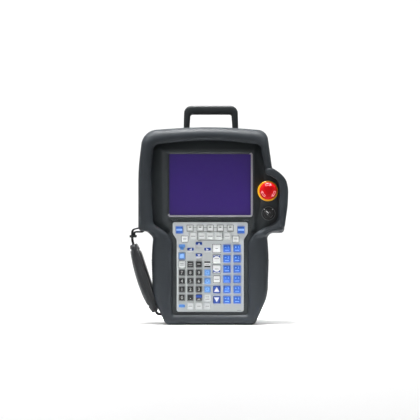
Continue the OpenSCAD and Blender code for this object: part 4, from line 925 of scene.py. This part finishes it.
def outline(x, z, width, height, line, back, front, corner=0.001):
    """A thin line round a rectangle."""
    bpy.ops.mesh.primitive_plane_add(size=1, rotation=(math.pi / 2, 0, 0))
    piece = settle(latest())
    piece.scale = (width, 1, height)
    piece.location = (x, -back, z)
    settle(piece)
    with editing_all(piece, "VERT"):
        bpy.ops.mesh.bevel(offset=corner, segments=3, affect="VERTICES")
    with editing_all(piece):
        bpy.ops.mesh.inset(thickness=line)
        bpy.ops.mesh.delete(type="FACE")
    return thickened(piece, front - back)


def marks(pieces, name, finish):
    """Joins marks that share a finish into one piece of the housing."""
    return finished(joined(pieces, name), name, "housing", finish)


class PendantKeys(bpy.types.Operator):
    """Adds the coloured faces of the keys"""

    bl_idname = "pendant.keys"
    bl_label = "Keys"

    def execute(self, context):
        clear_selection()
        small = sizes().small_key
        large = sizes().large_key
        numbers = [(x, z) for x in LEFT_X[:3] for z in LEFT_Z[1:]]
        numbers.remove((LEFT_X[0], LEFT_Z[5]))
        sky = [(LEFT_X[3], z) for z in LEFT_Z[2:5]] + [(LEFT_X[0], BADGE_Z)]
        menu = [(LEFT_X[column], LEFT_Z[row])
                for column, row in ((3, 1), (1, 0), (2, 0), (3, 0), (0, 5))]
        arrows = mirrored(COLUMN_PITCH, 0) + [(0, -ARROW_RISE), (0, ARROW_RISE)]
        motion = [(x, z) for x in RIGHT_X[1:] for z in RIGHT_Z]
        # Name, finish, width, height and places of each kind of key
        kinds = (
            ("motion_keys", "key_blue", large, large, motion),
            ("corner_keys", "key_blue", 0.012, 0.012, mirrored(CORNER_X, TOP_ROW_Z)),
            ("number_keys", "key_black", small, small, numbers),
            ("sky_keys", "key_sky", small, small, sky),
            ("menu_keys", "key_grey", small, small, menu),
            ("window_key", "key_white", small, small, [(LEFT_X[3], LEFT_Z[5])]),
            ("program_keys", "key_white", large, large, [(RIGHT_X[0], z) for z in RIGHT_Z]),
            ("function_keys", "key_grey", 0.009, 0.0095, [(x, FUNCTION_Z) for x in FUNCTION_X]),
            ("step_keys", "key_grey", 0.011, 0.0105, [(x, THIRD_ROW_Z) for x in THIRD_X]),
            ("side_keys", "key_white", 0.01, 0.009, mirrored(SIDE_X, SIDE_KEY_Z)),
            ("arrow_keys", "key_grey", 0.0106, 0.0084,
             [(ARROW_X + x, ARROW_Z + z) for x, z in arrows]),
        )
        for kind in kinds:
            key_faces(*kind)
        return {"FINISHED"}


class PendantKeyMarks(bpy.types.Operator):
    """Adds the numbers, arrows, bars and outlines printed on the keys"""

    bl_idname = "pendant.key_marks"
    bl_label = "Key marks"

    def execute(self, context):
        clear_selection()
        self.numbers()
        self.signs()
        self.arrows()
        self.program_keys()
        self.words()
        self.lines()
        return {"FINISHED"}

    def numbers(self):
        height = sizes().digit_height
        rows = (("7", "8", "9"), ("4", "5", "6"), ("1", "2", "3"))
        digits = [
            figure(digit, LEFT_X[column], LEFT_Z[4 - row], height, *print_band())
            for row, line in enumerate(rows) for column, digit in enumerate(line)]
        digits.append(figure("0", LEFT_X[0], LEFT_Z[1], height, *print_band()))
        digits.append(disc(LEFT_X[1], LEFT_Z[1] - 0.0014, 0.0007, *print_band(), 20))
        digits.append(bar(LEFT_X[2], LEFT_Z[1] - 0.0026, 0.0042, 0.0013, 1))
        digits.append(bar(LEFT_X[2], LEFT_Z[5] + 0.0004, 0.005, 0.0012))
        digits += bars([(LEFT_X[1], LEFT_Z[5] + dz) for dz in (-0.0014, 0.0014)], 0.006, 0.0008)
        marks(digits, "number_marks", "digit_print")

    def signs(self):
        """A sign and a number on each blue key of the right block."""
        aside, above, below = 0.0022, 0.0021, 0.0028
        stroke, thin = 0.0026, 0.0008
        pale = []
        for row, z in enumerate(RIGHT_Z):
            for column, x in enumerate(RIGHT_X[1:]):
                pale.append(bar(x - aside, z + above, stroke, thin))
                if column:
                    pale.append(bar(x - aside, z + above, thin, stroke))
                pale.append(figure(str(6 - row), x + aside, z + above, 0.0034, *print_band()))
                pale.append(bar(x, z - below, 0.0064, 0.0009))
        pale += bars(mirrored(CORNER_X, TOP_ROW_Z + 0.0002), 0.0098, 0.0032)
        marks(pale, "sign_marks", "pale_print")
        rings = [hoop(LEFT_X[3], z, 0.0026, 0.0019, *print_band(), 24) for z in LEFT_Z[2:5]]
        rings.append(plate(LEFT_X[0], BADGE_Z, 0.0066, 0.0062, *print_band(), 0.001))
        marks(rings, "ring_marks", "pale_print")

    def arrows(self):
        caps = []
        heads = []
        cap = (0.0102, 0.0046)
        for dx, dz, turn in ((0, ARROW_RISE, 0), (-COLUMN_PITCH, 0, 90),
                             (COLUMN_PITCH, 0, -90), (0, -ARROW_RISE, 180)):
            x = ARROW_X + dx
            z = ARROW_Z + dz
            caps.append(plate(x, z + 0.0017, *cap, *print_band(), 0.0012))
            heads.append(wedge(x, z + 0.0008, 0.0052, 0.0042, *print_band(1), turn))
        caps.append(plate(LEFT_X[2], LEFT_Z[1] + 0.0022, 0.0102, 0.005, *print_band(), 0.0012))
        marks(caps, "arrow_caps", "key_navy")
        marks(heads, "arrow_heads", "key_white")
        shield = [
            plate(LEFT_X[0], SHIELD_Z + 0.0018, 0.0102, 0.0052, *print_band(), 0.001),
            plate(LEFT_X[0], SHIELD_Z - 0.0022, 0.0058, 0.0044, *print_band(), 0.0012),
        ]
        oval = plate(LEFT_X[0], LEFT_Z[0], 0.0104, 0.0048, *print_band(), 0.0022)
        marks([*shield, oval], "shield_marks", "key_sky")

    def program_keys(self):
        x = RIGHT_X[0]
        blue = []
        for row, side in ((4, 1), (3, -1)):
            z = RIGHT_Z[row] + side * 0.0044
            blue.append(bow(x, RIGHT_Z[row] - side * 0.0012, 0.0062, 0.0013,
                            30 if side > 0 else 210, 120, *print_band()))
            blue.append(bar(x - 0.0049, z, 0.0016, 0.0024))
            blue.append(bar(x + 0.0049, z, 0.0016, 0.0024))
        for row in (0, 1):
            blue.append(plate(x, RIGHT_Z[row], 0.0118, 0.0118, *print_band(), 0.0012))
        marks(blue, "program_blue", "key_navy")
        triangle = (0.0086, 0.0078)
        white = [
            wedge(x, RIGHT_Z[1] + 0.0002, *triangle, *print_band(1)),
            wedge(x, RIGHT_Z[0] - 0.0002, *triangle, *print_band(1), 180),
        ]
        marks(white, "program_triangles", "key_white")
        black = [outline(x, z, 0.0124, 0.0124, 0.0011, *print_band()) for z in RIGHT_Z[:3]]
        black += bars([(LEFT_X[3], LEFT_Z[5] + dz) for dz in (-0.0037, 0.0037)], 0.0102, 0.0028)
        marks(black, "dark_frames", "key_black")

    def words(self):
        """Grey bars where a key has a word."""
        # Width and height of a bar, and its places
        rows = (
            (0.0072, 0.001, [(x, THIRD_ROW_Z - 0.0004) for x in THIRD_X]),
            (0.0038, 0.0018, [(x, FUNCTION_Z + 0.0017) for x in FUNCTION_X]),
            (0.0086, 0.0011, [(x, FUNCTION_Z - 0.0041) for x in FUNCTION_X]),
            (0.0056, 0.0008, mirrored(SIDE_X, SIDE_KEY_Z + 0.0011)),
            (0.0056, 0.0008, mirrored(SIDE_X, SIDE_KEY_Z - 0.0011)),
            (0.0058, 0.0009, [(x, LEFT_Z[0] - 0.0004) for x in LEFT_X[1:]]),
            (0.006, 0.0009, [(LEFT_X[3], LEFT_Z[1] + dz) for dz in (-0.0026, 0.0012)]),
            (0.0056, 0.0008, [(LEFT_X[0], LEFT_Z[5] + dz) for dz in (-0.0013, 0.0013)]),
            (0.0064, 0.0009, [(LEFT_X[3], LEFT_Z[5])]),
            (0.004, 0.001, [(RIGHT_X[0], RIGHT_Z[5])]),
            (0.0072, 0.001, [(RIGHT_X[0], RIGHT_Z[row]) for row in (4, 2)]),
            (0.0066, 0.001, [(RIGHT_X[0], RIGHT_Z[3])]),
            (0.0062, 0.0007, [(0.046, KEY_SHEET_LOW + 0.0022)]),
        )
        grey = []
        for width, height, spots in rows:
            grey += bars(spots, width, height)
        marks(grey, "word_bars", "printed_line")

    def lines(self):
        """Outlines printed on the sheet round and between the keys."""
        ground = (SHEET_FACE - PRINT_SINK, SHEET_FACE + 0.00008)
        # Width, height and line of an outline, and its places
        boxes = (
            (0.0412, 0.0152, 0.001, [(0.0002, THIRD_ROW_Z + 0.0002)]),
            (0.011, 0.0115, 0.001, [(x, FUNCTION_Z) for x in FUNCTION_X]),
            (0.0118, 0.0108, 0.0009, mirrored(SIDE_X, SIDE_KEY_Z)),
            (0.0142, 0.0142, 0.0009, [(RIGHT_X[0], z) for z in RIGHT_Z[3:]]),
            (0.012, 0.012, 0.0008, [(LEFT_X[0], z) for z in (LEFT_Z[5], BADGE_Z)]),
        )
        lines = [outline(x, z, width, height, line, *ground)
                 for width, height, line, spots in boxes for x, z in spots]
        for left, right in zip(FUNCTION_X, FUNCTION_X[1:]):
            lines.append(plate((left + right) / 2, FUNCTION_Z + 0.001, 0.0053, 0.0009, *ground))
        marks(lines, "sheet_lines", "printed_line")


# Height kept free on the stop button for the marks that lie on it
ARROW_ROOM = 0.0002


class PendantStopButton(bpy.types.Operator):
    """Adds the stop button's domed cap and its twist arrows"""

    bl_idname = "pendant.stop_button"
    bl_label = "Stop button"

    def execute(self, context):
        clear_selection()
        low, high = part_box("estop_head")
        radius = (high.x - low.x) / 2
        back = -high.y
        top = -low.y - ARROW_ROOM
        x, z = STOP_AT.x, STOP_AT.z
        cap = spun([
            (0.0, back + 0.0106), (0.0036, back + 0.0106), (0.0036, back + 0.0071),
            (0.0118, back + 0.0071), (0.0118, back), (radius - 0.0013, back),
            (radius - 0.0005, back + 0.0003), (radius, back + 0.0012),
            (radius, top - 0.0054), (radius - 0.0001, top - 0.0044),
            (radius - 0.0004, top - 0.0034), (radius - 0.001, top - 0.0026),
            (radius - 0.002, top - 0.0018), (radius - 0.0035, top - 0.0011),
            (radius - 0.0055, top - 0.0006), (radius - 0.0085, top - 0.0002),
            (radius - 0.0115, top - 0.00005), (0.0, top),
        ], x, z, 72)
        shaded(cap, 40)
        finished(cap, "stop_cap", "estop_head", "stop_red")
        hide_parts("estop_head")

        sheet = joined([self.arrow(middle) for middle in (90, 210, 330)], "twist_arrows")
        placed(sheet, x, -top - 0.001, z)
        self.laid_on(sheet, cap, 0.00016)
        finished(sheet, "twist_arrows", "estop_head", "stop_print")

        heart = wedge(0, 0, 0.0165, 0.0143, 0, 0, 180)
        with editing_all(heart, "VERT"):
            bpy.ops.mesh.bevel(offset=0.0042, segments=8, affect="VERTICES")
        with editing_all(heart):
            bpy.ops.mesh.quads_convert_to_tris()
            bpy.ops.mesh.subdivide(number_cuts=2)
        placed(heart, x, -top - 0.001, z - 0.0006)
        self.laid_on(heart, cap, 0.00013)
        finished(heart, "stop_heart", "estop_head", "stop_dark_red")
        return {"FINISHED"}

    @staticmethod
    def arrow(middle):
        """The outline of a bent arrow round the origin, with its head at the clockwise end."""
        reach_out, half_band, line = 0.01, 0.0012, 0.0008
        sweep, head_sweep, end_sweep = 58, 14, 5
        start = middle - sweep / 2
        lines = [bow(0, 0, reach_out + side * half_band, line, start + head_sweep,
                     sweep - head_sweep, 0, 0) for side in (1, -1)]
        lines.append(bow(0, 0, reach_out, 2 * half_band + line, start + sweep - end_sweep,
                         end_sweep, 0, 0, 3))
        tip = start + head_sweep / 2
        head = wedge(reach_out * math.cos(math.radians(tip)),
                     reach_out * math.sin(math.radians(tip)), 0.0052, 0.0036, 0, 0, tip + 180)
        with editing_all(head):
            bpy.ops.mesh.subdivide(number_cuts=2)
        return joined([*lines, head], "arrow")

    @staticmethod
    def laid_on(sheet, ground, thickness):
        """Drops a flat sheet on the face behind it and gives it a thickness."""
        modified(sheet, "SHRINKWRAP", target=ground, wrap_method="PROJECT",
                 use_project_y=True, use_negative_direction=True,
                 use_positive_direction=True, offset=0.00002)
        modified(sheet, "SOLIDIFY", thickness=thickness, offset=1)
        with editing(sheet):
            face_outwards()


class PendantScreenEdgeHighlight(bpy.types.Operator):
    """Adds a painted highlight along the right and lower sides of the screen: a light grey strip
    standing in for light caught on the frame's bevel
    """

    bl_idname = "pendant.screen_edge"
    bl_label = "Screen edge"

    def execute(self, context):
        clear_selection()
        low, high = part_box("display_window")
        left, right = low.x + SCREEN_LAP, high.x - SCREEN_LAP
        foot, head = low.z + SCREEN_LAP, high.z - SCREEN_LAP
        pane = front_of("display_window")
        width = sizes().screen_edge
        rise = (front_of("display_panel") - pane) * width / SCREEN_BEVEL
        # Painted highlight: a light strip on the right and lower bevel only, where the light from
        # the upper left falls.
        highlight_strip = outline((left + right) / 2, (foot + head) / 2, right - left + 2 * width,
                       head - foot + 2 * width, width, pane - 0.0001, pane + rise + 0.0002, 0.0035)
        lower_cut = Vector((left - width, 0, foot + 0.001))
        cut = Vector((right + 0.0004, 0, head + width)) - lower_cut
        with editing_all(highlight_strip):
            bpy.ops.mesh.bisect(plane_co=lower_cut, plane_no=(-cut.z, 0, cut.x),
                                use_fill=True, clear_outer=True)
            face_outwards()
        finished(highlight_strip, "screen_edge", "housing", "bare_edge")
        return {"FINISHED"}


class PendantSelector(bpy.types.Operator):
    """Adds the selector's pointer and the ticks on its ring"""

    bl_idname = "pendant.selector"
    bl_label = "Selector"

    def execute(self, context):
        clear_selection()
        x, z = KNOB_AT.x, KNOB_AT.z
        top = front_of("enable_knob")
        pointer = plate(0, 0.0032, 0.0012, 0.0052, top - 0.0002, top + 0.00016, 0.0004)
        placed(pointer, x, 0, z, 45)
        finished(pointer, "selector_pointer", "enable_knob", "key_white")
        ring_top = front_of("enable_ring")
        ticks = []
        for angle in (45, -45):
            tick = plate(0, 0.0094, 0.0011, 0.002, ring_top - 0.0001, ring_top + 0.00014, 0.0003)
            ticks.append(placed(tick, x, 0, z, angle))
        marks(ticks, "selector_ticks", "key_white")
        rim = hoop(x, z, 0.011, 0.0104, ring_top - 0.0001, ring_top + 0.0003)
        finished(rim, "selector_rim", "housing", "anchor_metal")
        return {"FINISHED"}


def copy_of(node):
    """A piece with the shape of a CAD node, its loose faces merged."""
    choose(NODES[node])
    bpy.ops.object.duplicate(linked=False)
    twin = latest()
    twin.parent = None
    for key in list(twin.keys()):
        del twin[key]
    with editing_all(twin, "VERT"):
        bpy.ops.mesh.remove_doubles(threshold=2e-6)
    return settle(twin)


# Crown of the rim over the screen: where it starts, how deep it reaches, how much it slopes
CROWN_FOOT_Z = 0.291
CROWN_DEPTH = 0.014
CROWN_SLOPE = 0.26

# Flat face of the stop button's guard, from its tip: X, Z and rounding
GUARD_LIP = [
    (0.0876, 0.2492, 0.0024), (0.0996, 0.2506, 0.003), (0.1128, 0.2418, 0.006),
    (0.1212, 0.2314, 0.005), (0.1242, 0.2165, 0.005), (0.1231, 0.19, 0.004),
    (0.1184, 0.157, 0.0026), (0.1106, 0.157, 0.0026), (0.1104, 0.19, 0.002),
    (0.1104, 0.221, 0.005), (0.1056, 0.2325, 0.004), (0.0968, 0.2384, 0.003),
    (0.0886, 0.2414, 0.0024),
]


class PendantShells(bpy.types.Operator):
    """Adds the moulded shells and panels with smooth rounded surfaces"""

    bl_idname = "pendant.shells"
    bl_label = "Shells"

    def execute(self, context):
        skins = {
            "front_housing": ("front_shell", "charcoal_shell", "shell_plastic", 32),
            "rear_housing": ("rear_shell", "charcoal_rear", "rear_plastic", 32),
            "rear_cover": ("rear_lid", "charcoal_rear", "rear_plastic", 32),
            "handle": ("carrying_handle", "handle_charcoal", "handle_plastic", 40),
            "display_panel": ("screen_surround", "recess_panel", "recess_plastic", 30),
            "keypad_frame": ("keypad_surround", "recess_panel", "recess_plastic", 30),
            "deadman_right": ("right_paddle", "paddle_grey", "paddle_plastic", 40),
            "deadman_left": ("left_paddle", "paddle_grey", "paddle_plastic", 40),
        }
        for node, (name, slot, finish, angle) in skins.items():
            skin = copy_of(node)
            if node == "front_housing":
                self.crowned(skin)
            shaded(skin, angle)
            body = node if node.startswith("deadman") else "housing"
            finished(skin, name, body, finish)
            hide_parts(node)
        guard_face = front_of("front_housing")
        lip = traced(GUARD_LIP, guard_face - 0.01, guard_face + 0.0014, 0.0013)
        finished(shaded(lip, 40), "guard_lip", "housing", "shell_plastic")
        return {"FINISHED"}

    @staticmethod
    def crowned(skin):
        """Slopes the rim over the screen a little back towards the top."""
        for vert in skin.data.vertices:
            rise = max(0.0, vert.co.z - CROWN_FOOT_Z)
            share = max(0.0, min(1.0, (-vert.co.y - CROWN_DEPTH) / CROWN_DEPTH))
            vert.co.y += CROWN_SLOPE * rise * share


PAD_LOW, PAD_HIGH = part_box("strap_pad")
PAD_MIDDLE_Y = (PAD_LOW.y + PAD_HIGH.y) / 2
PAD_TOP = Vector((-0.1236, 0.1275))
PAD_BULGE = Vector((-0.1082, 0.066))
PAD_END = Vector((-0.0886, 0.022))
PAD_HALF_WIDTH = (PAD_HIGH.y - PAD_LOW.y) / 2
PAD_SKIN = 0.0016
SEAM_OUT = PAD_HALF_WIDTH * 0.62
SEAM_HALF = 0.0016
END_SEAMS = (0.075, 0.925)
END_SEAM_HALF = 0.012
SEAM_PRESS = 0.22
SWELL_FRAMES = 20


def pad_middle(share):
    """The pad's middle line from its top to its end, in X and Z."""
    return ((1 - share) ** 2 * PAD_TOP + 2 * share * (1 - share) * PAD_BULGE
            + share ** 2 * PAD_END)


def pad_along(share):
    """The way the pad runs at a share of its length, in X and Z."""
    return ((1 - share) * (PAD_BULGE - PAD_TOP) + share * (PAD_END - PAD_BULGE)).normalized()


def tube_through(points, radius):
    """A closed-ended tube along points, as a mesh."""
    bpy.ops.curve.primitive_nurbs_path_add()
    curve = latest()
    curve.data.splines.clear()
    spline = curve.data.splines.new("POLY")
    spline.points.add(len(points) - 1)
    for knot, point in zip(spline.points, points):
        knot.co = (*point, 1)
    curve.data.bevel_depth = radius
    curve.data.bevel_resolution = 4
    curve.data.use_fill_caps = True
    choose(curve)
    bpy.ops.object.convert(target="MESH")
    piece = latest()
    with editing_all(piece):
        bpy.ops.mesh.remove_doubles(threshold=SAME_POINT)
        face_outwards()
    return settle(piece)


class PendantStrap(bpy.types.Operator):
    """Adds the hand strap: its padded cover, hems, piping, webbing and stitches"""

    bl_idname = "pendant.strap"
    bl_label = "Hand strap"

    def execute(self, context):
        pad = self.padding()
        self.webbing()
        self.hems(pad)
        return {"FINISHED"}

    def padding(self):
        """The swollen cover, which takes the place of the plain pad."""
        pad = copy_of("strap_pad")
        with editing_all(pad):
            bpy.ops.transform.shrink_fatten(value=PAD_SKIN)
        modified(pad, "REMESH", mode="VOXEL", voxel_size=0.0028)
        self.inflate(pad)
        modified(pad, "SMOOTH", factor=0.5, iterations=3)
        modified(pad, "SUBSURF", levels=1, render_levels=1)
        self.sewn_channels(pad)
        shaded(pad, 60)
        finished(pad, "strap_padding", "housing", "pad_cloth")
        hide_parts("strap_pad")
        return pad

    @staticmethod
    def inflate(pad):
        """Swells the cover by its padding, and caps how far any of it moves."""
        scene = bpy.context.scene
        start = [vert.co.copy() for vert in pad.data.vertices]
        cloth = pad.modifiers.new("padding", "CLOTH")
        cloth.settings.use_pressure = True
        cloth.settings.uniform_pressure_force = 4
        cloth.settings.effector_weights.gravity = 0
        cloth.settings.quality = 4
        for number in range(1, SWELL_FRAMES + 1):
            scene.frame_set(number)
        shape = pad.evaluated_get(bpy.context.evaluated_depsgraph_get())
        swollen = [vert.co.copy() for vert in shape.data.vertices]
        pad.modifiers.remove(cloth)
        scene.frame_set(1)
        most = sizes().pad_swell
        for vert, before, after in zip(pad.data.vertices, start, swollen):
            move = after - before
            vert.co = before + (move if move.length <= most else move.normalized() * most)

    @staticmethod
    def sewn_channels(pad):
        """Presses two seams along the pad and one across each end."""
        for vert in pad.data.vertices:
            place = Vector((vert.co.x, vert.co.z))
            share = max(0.0, min(1.0, (PAD_TOP.y - place.y) / (PAD_TOP.y - PAD_END.y)))
            middle = pad_middle(share)
            across = place - middle
            off = vert.co.y - PAD_MIDDLE_Y
            seam = math.exp(-((abs(off) - SEAM_OUT) / SEAM_HALF) ** 2)
            ends = sum(math.exp(-((share - end) / END_SEAM_HALF) ** 2) for end in END_SEAMS)
            press = min(1.0, seam + ends) * SEAM_PRESS
            vert.co.x -= across.x * press
            vert.co.z -= across.y * press

    def hems(self, pad):
        """Piping round the pad's two long edges and a folded hem at each end."""
        cords = []
        for side in (-1, 1):
            points = []
            for step in range(3, 38):
                share = step / 40
                spot = pad_middle(share)
                swell = math.sin(math.pi * share) ** 0.5
                out = PAD_HALF_WIDTH * (0.74 + 0.24 * swell)
                points.append((spot.x, PAD_MIDDLE_Y + side * out, spot.y))
            cords.append(tube_through(points, 0.0011))
        piping = shaded(joined(cords, "strap_piping"), 60)
        finished(piping, "strap_piping", "housing", "strap_binding")

        folds = []
        for share in (0.012, 0.988):
            spot = pad_middle(share)
            along = pad_along(share)
            bpy.ops.mesh.primitive_cube_add(size=1)
            fold = latest()
            fold.scale = (0.0104, PAD_HALF_WIDTH * 1.5, 0.005)
            settle(fold)
            modified(fold, "BEVEL", width=0.0018, segments=4, limit_method="NONE")
            turn = math.degrees(math.atan2(along.x, -along.y))
            folds.append(shaded(placed(fold, spot.x, PAD_MIDDLE_Y, spot.y, turn), 50))
        hem = joined(folds, "strap_hems")
        finished(hem, "strap_hems", "housing", "strap_binding")

        pitch = sizes().stitch_length
        knots = [pad_middle(step / 40) for step in range(41)]
        run = sum((after - before).length for before, after in zip(knots, knots[1:]))
        count = int(run * 0.84 / pitch)
        self.thread(pad, pitch, [
            (side, face, 0.085 + 0.83 * step / count)
            for side in (-1, 1) for face in (-1, 1) for step in range(count)])

    @staticmethod
    def thread(pad, pitch, places):
        """One stitch modelled and laid on the pad's face at each place."""
        bpy.ops.mesh.primitive_cylinder_add(vertices=6, radius=0.00028, depth=pitch * 0.62)
        first = settle(latest())
        cover = pad.evaluated_get(bpy.context.evaluated_depsgraph_get())
        laid = []
        for side, face, share in places:
            spot = pad_middle(share)
            along = pad_along(share)
            out = Vector((along.y, -along.x)) * face
            y = PAD_MIDDLE_Y + side * SEAM_OUT
            far = Vector((spot.x + out.x * 0.03, y, spot.y + out.y * 0.03))
            hit, place, normal, _ = cover.ray_cast(far, Vector((-out.x, 0, -out.y)))
            if not hit:
                continue
            stitch = first.copy()
            stitch.data = first.data.copy()
            bpy.context.collection.objects.link(stitch)
            stitch.rotation_euler = (0, math.atan2(along.x, along.y), 0)
            stitch.location = place + normal * 0.00012
            laid.append(stitch)
        bpy.data.objects.remove(first)
        thread = joined(laid, "strap_stitches")
        finished(thread, "strap_stitches", "housing", "thread")

    @staticmethod
    def webbing():
        """The woven tapes at both ends of the pad, with softened edges."""
        for node, name in (("strap_upper_webbing", "upper_webbing"),
                           ("strap_lower_webbing", "lower_webbing")):
            band = copy_of(node)
            modified(band, "BEVEL", width=0.0005, segments=2, angle_limit=math.radians(50))
            with editing_all(band):
                bpy.ops.uv.cube_project(cube_size=1.0)
            shaded(band, 40)
            finished(band, name, "housing", "strap_webbing")
            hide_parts(node)


class PendantInlet(bpy.types.Operator):
    """Adds the thread of the cable inlet"""

    bl_idname = "pendant.inlet"
    bl_label = "Cable inlet"

    def execute(self, context):
        clear_selection()
        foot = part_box("connector_shell")[0].z
        y = middle_of("connector_insert").y
        radius, thread_height, pitch = 0.009, 0.0004, 0.0011
        rings = []
        for turn in range(6):
            bpy.ops.mesh.primitive_torus_add(
                major_radius=radius - 0.00005, minor_radius=thread_height, major_segments=56,
                minor_segments=8, location=(0, y, foot + 0.0014 + pitch * turn))
            rings.append(settle(latest()))
        thread = shaded(joined(rings, "inlet_thread"), 60)
        finished(thread, "inlet_thread", "housing", "inlet_metal")
        return {"FINISHED"}


class PendantPanel(bpy.types.Panel):
    """Lists the pendant's pieces, sizes and colours"""

    bl_idname = "VIEW3D_PT_pendant"
    bl_label = "Pendant"
    bl_space_type = "VIEW_3D"
    bl_region_type = "UI"
    bl_category = "Pendant"

    def draw(self, context):
        layout = self.layout
        for operator in OPERATORS:
            layout.operator(operator.bl_idname)
        for group in ("pendant_sizes", "pendant_colours"):
            values = getattr(context.scene, group)
            box = layout.box()
            for name in values.__annotations__:
                box.prop(values, name)


OPERATORS = (
    PendantFinishes,
    PendantStage,
    PendantKeys,
    PendantKeyMarks,
    PendantStopButton,
    PendantScreenEdgeHighlight,
    PendantSelector,
    PendantShells,
    PendantStrap,
    PendantInlet,
)
CLASSES = (PendantSizes, PendantColours, *OPERATORS, PendantPanel)


def register():
    for each in CLASSES:
        bpy.utils.register_class(each)
    bpy.types.Scene.pendant_sizes = bpy.props.PointerProperty(type=PendantSizes)
    bpy.types.Scene.pendant_colours = bpy.props.PointerProperty(type=PendantColours)


def unregister():
    del bpy.types.Scene.pendant_colours
    del bpy.types.Scene.pendant_sizes
    for each in reversed(CLASSES):
        bpy.utils.unregister_class(each)


def empty_room():
    """Takes away the objects that a new file starts with."""
    clear_selection()
    for name in ("Cube", "Light", "Camera"):
        if name in bpy.data.objects:
            bpy.data.objects[name].select_set(True)
    bpy.ops.object.delete()


def build_pendant():
    register()
    empty_room()
    for operator in OPERATORS:
        family, action = operator.bl_idname.split(".")
        getattr(getattr(bpy.ops, family), action)()
    clear_selection()


if __name__ == "__main__":
    build_pendant()
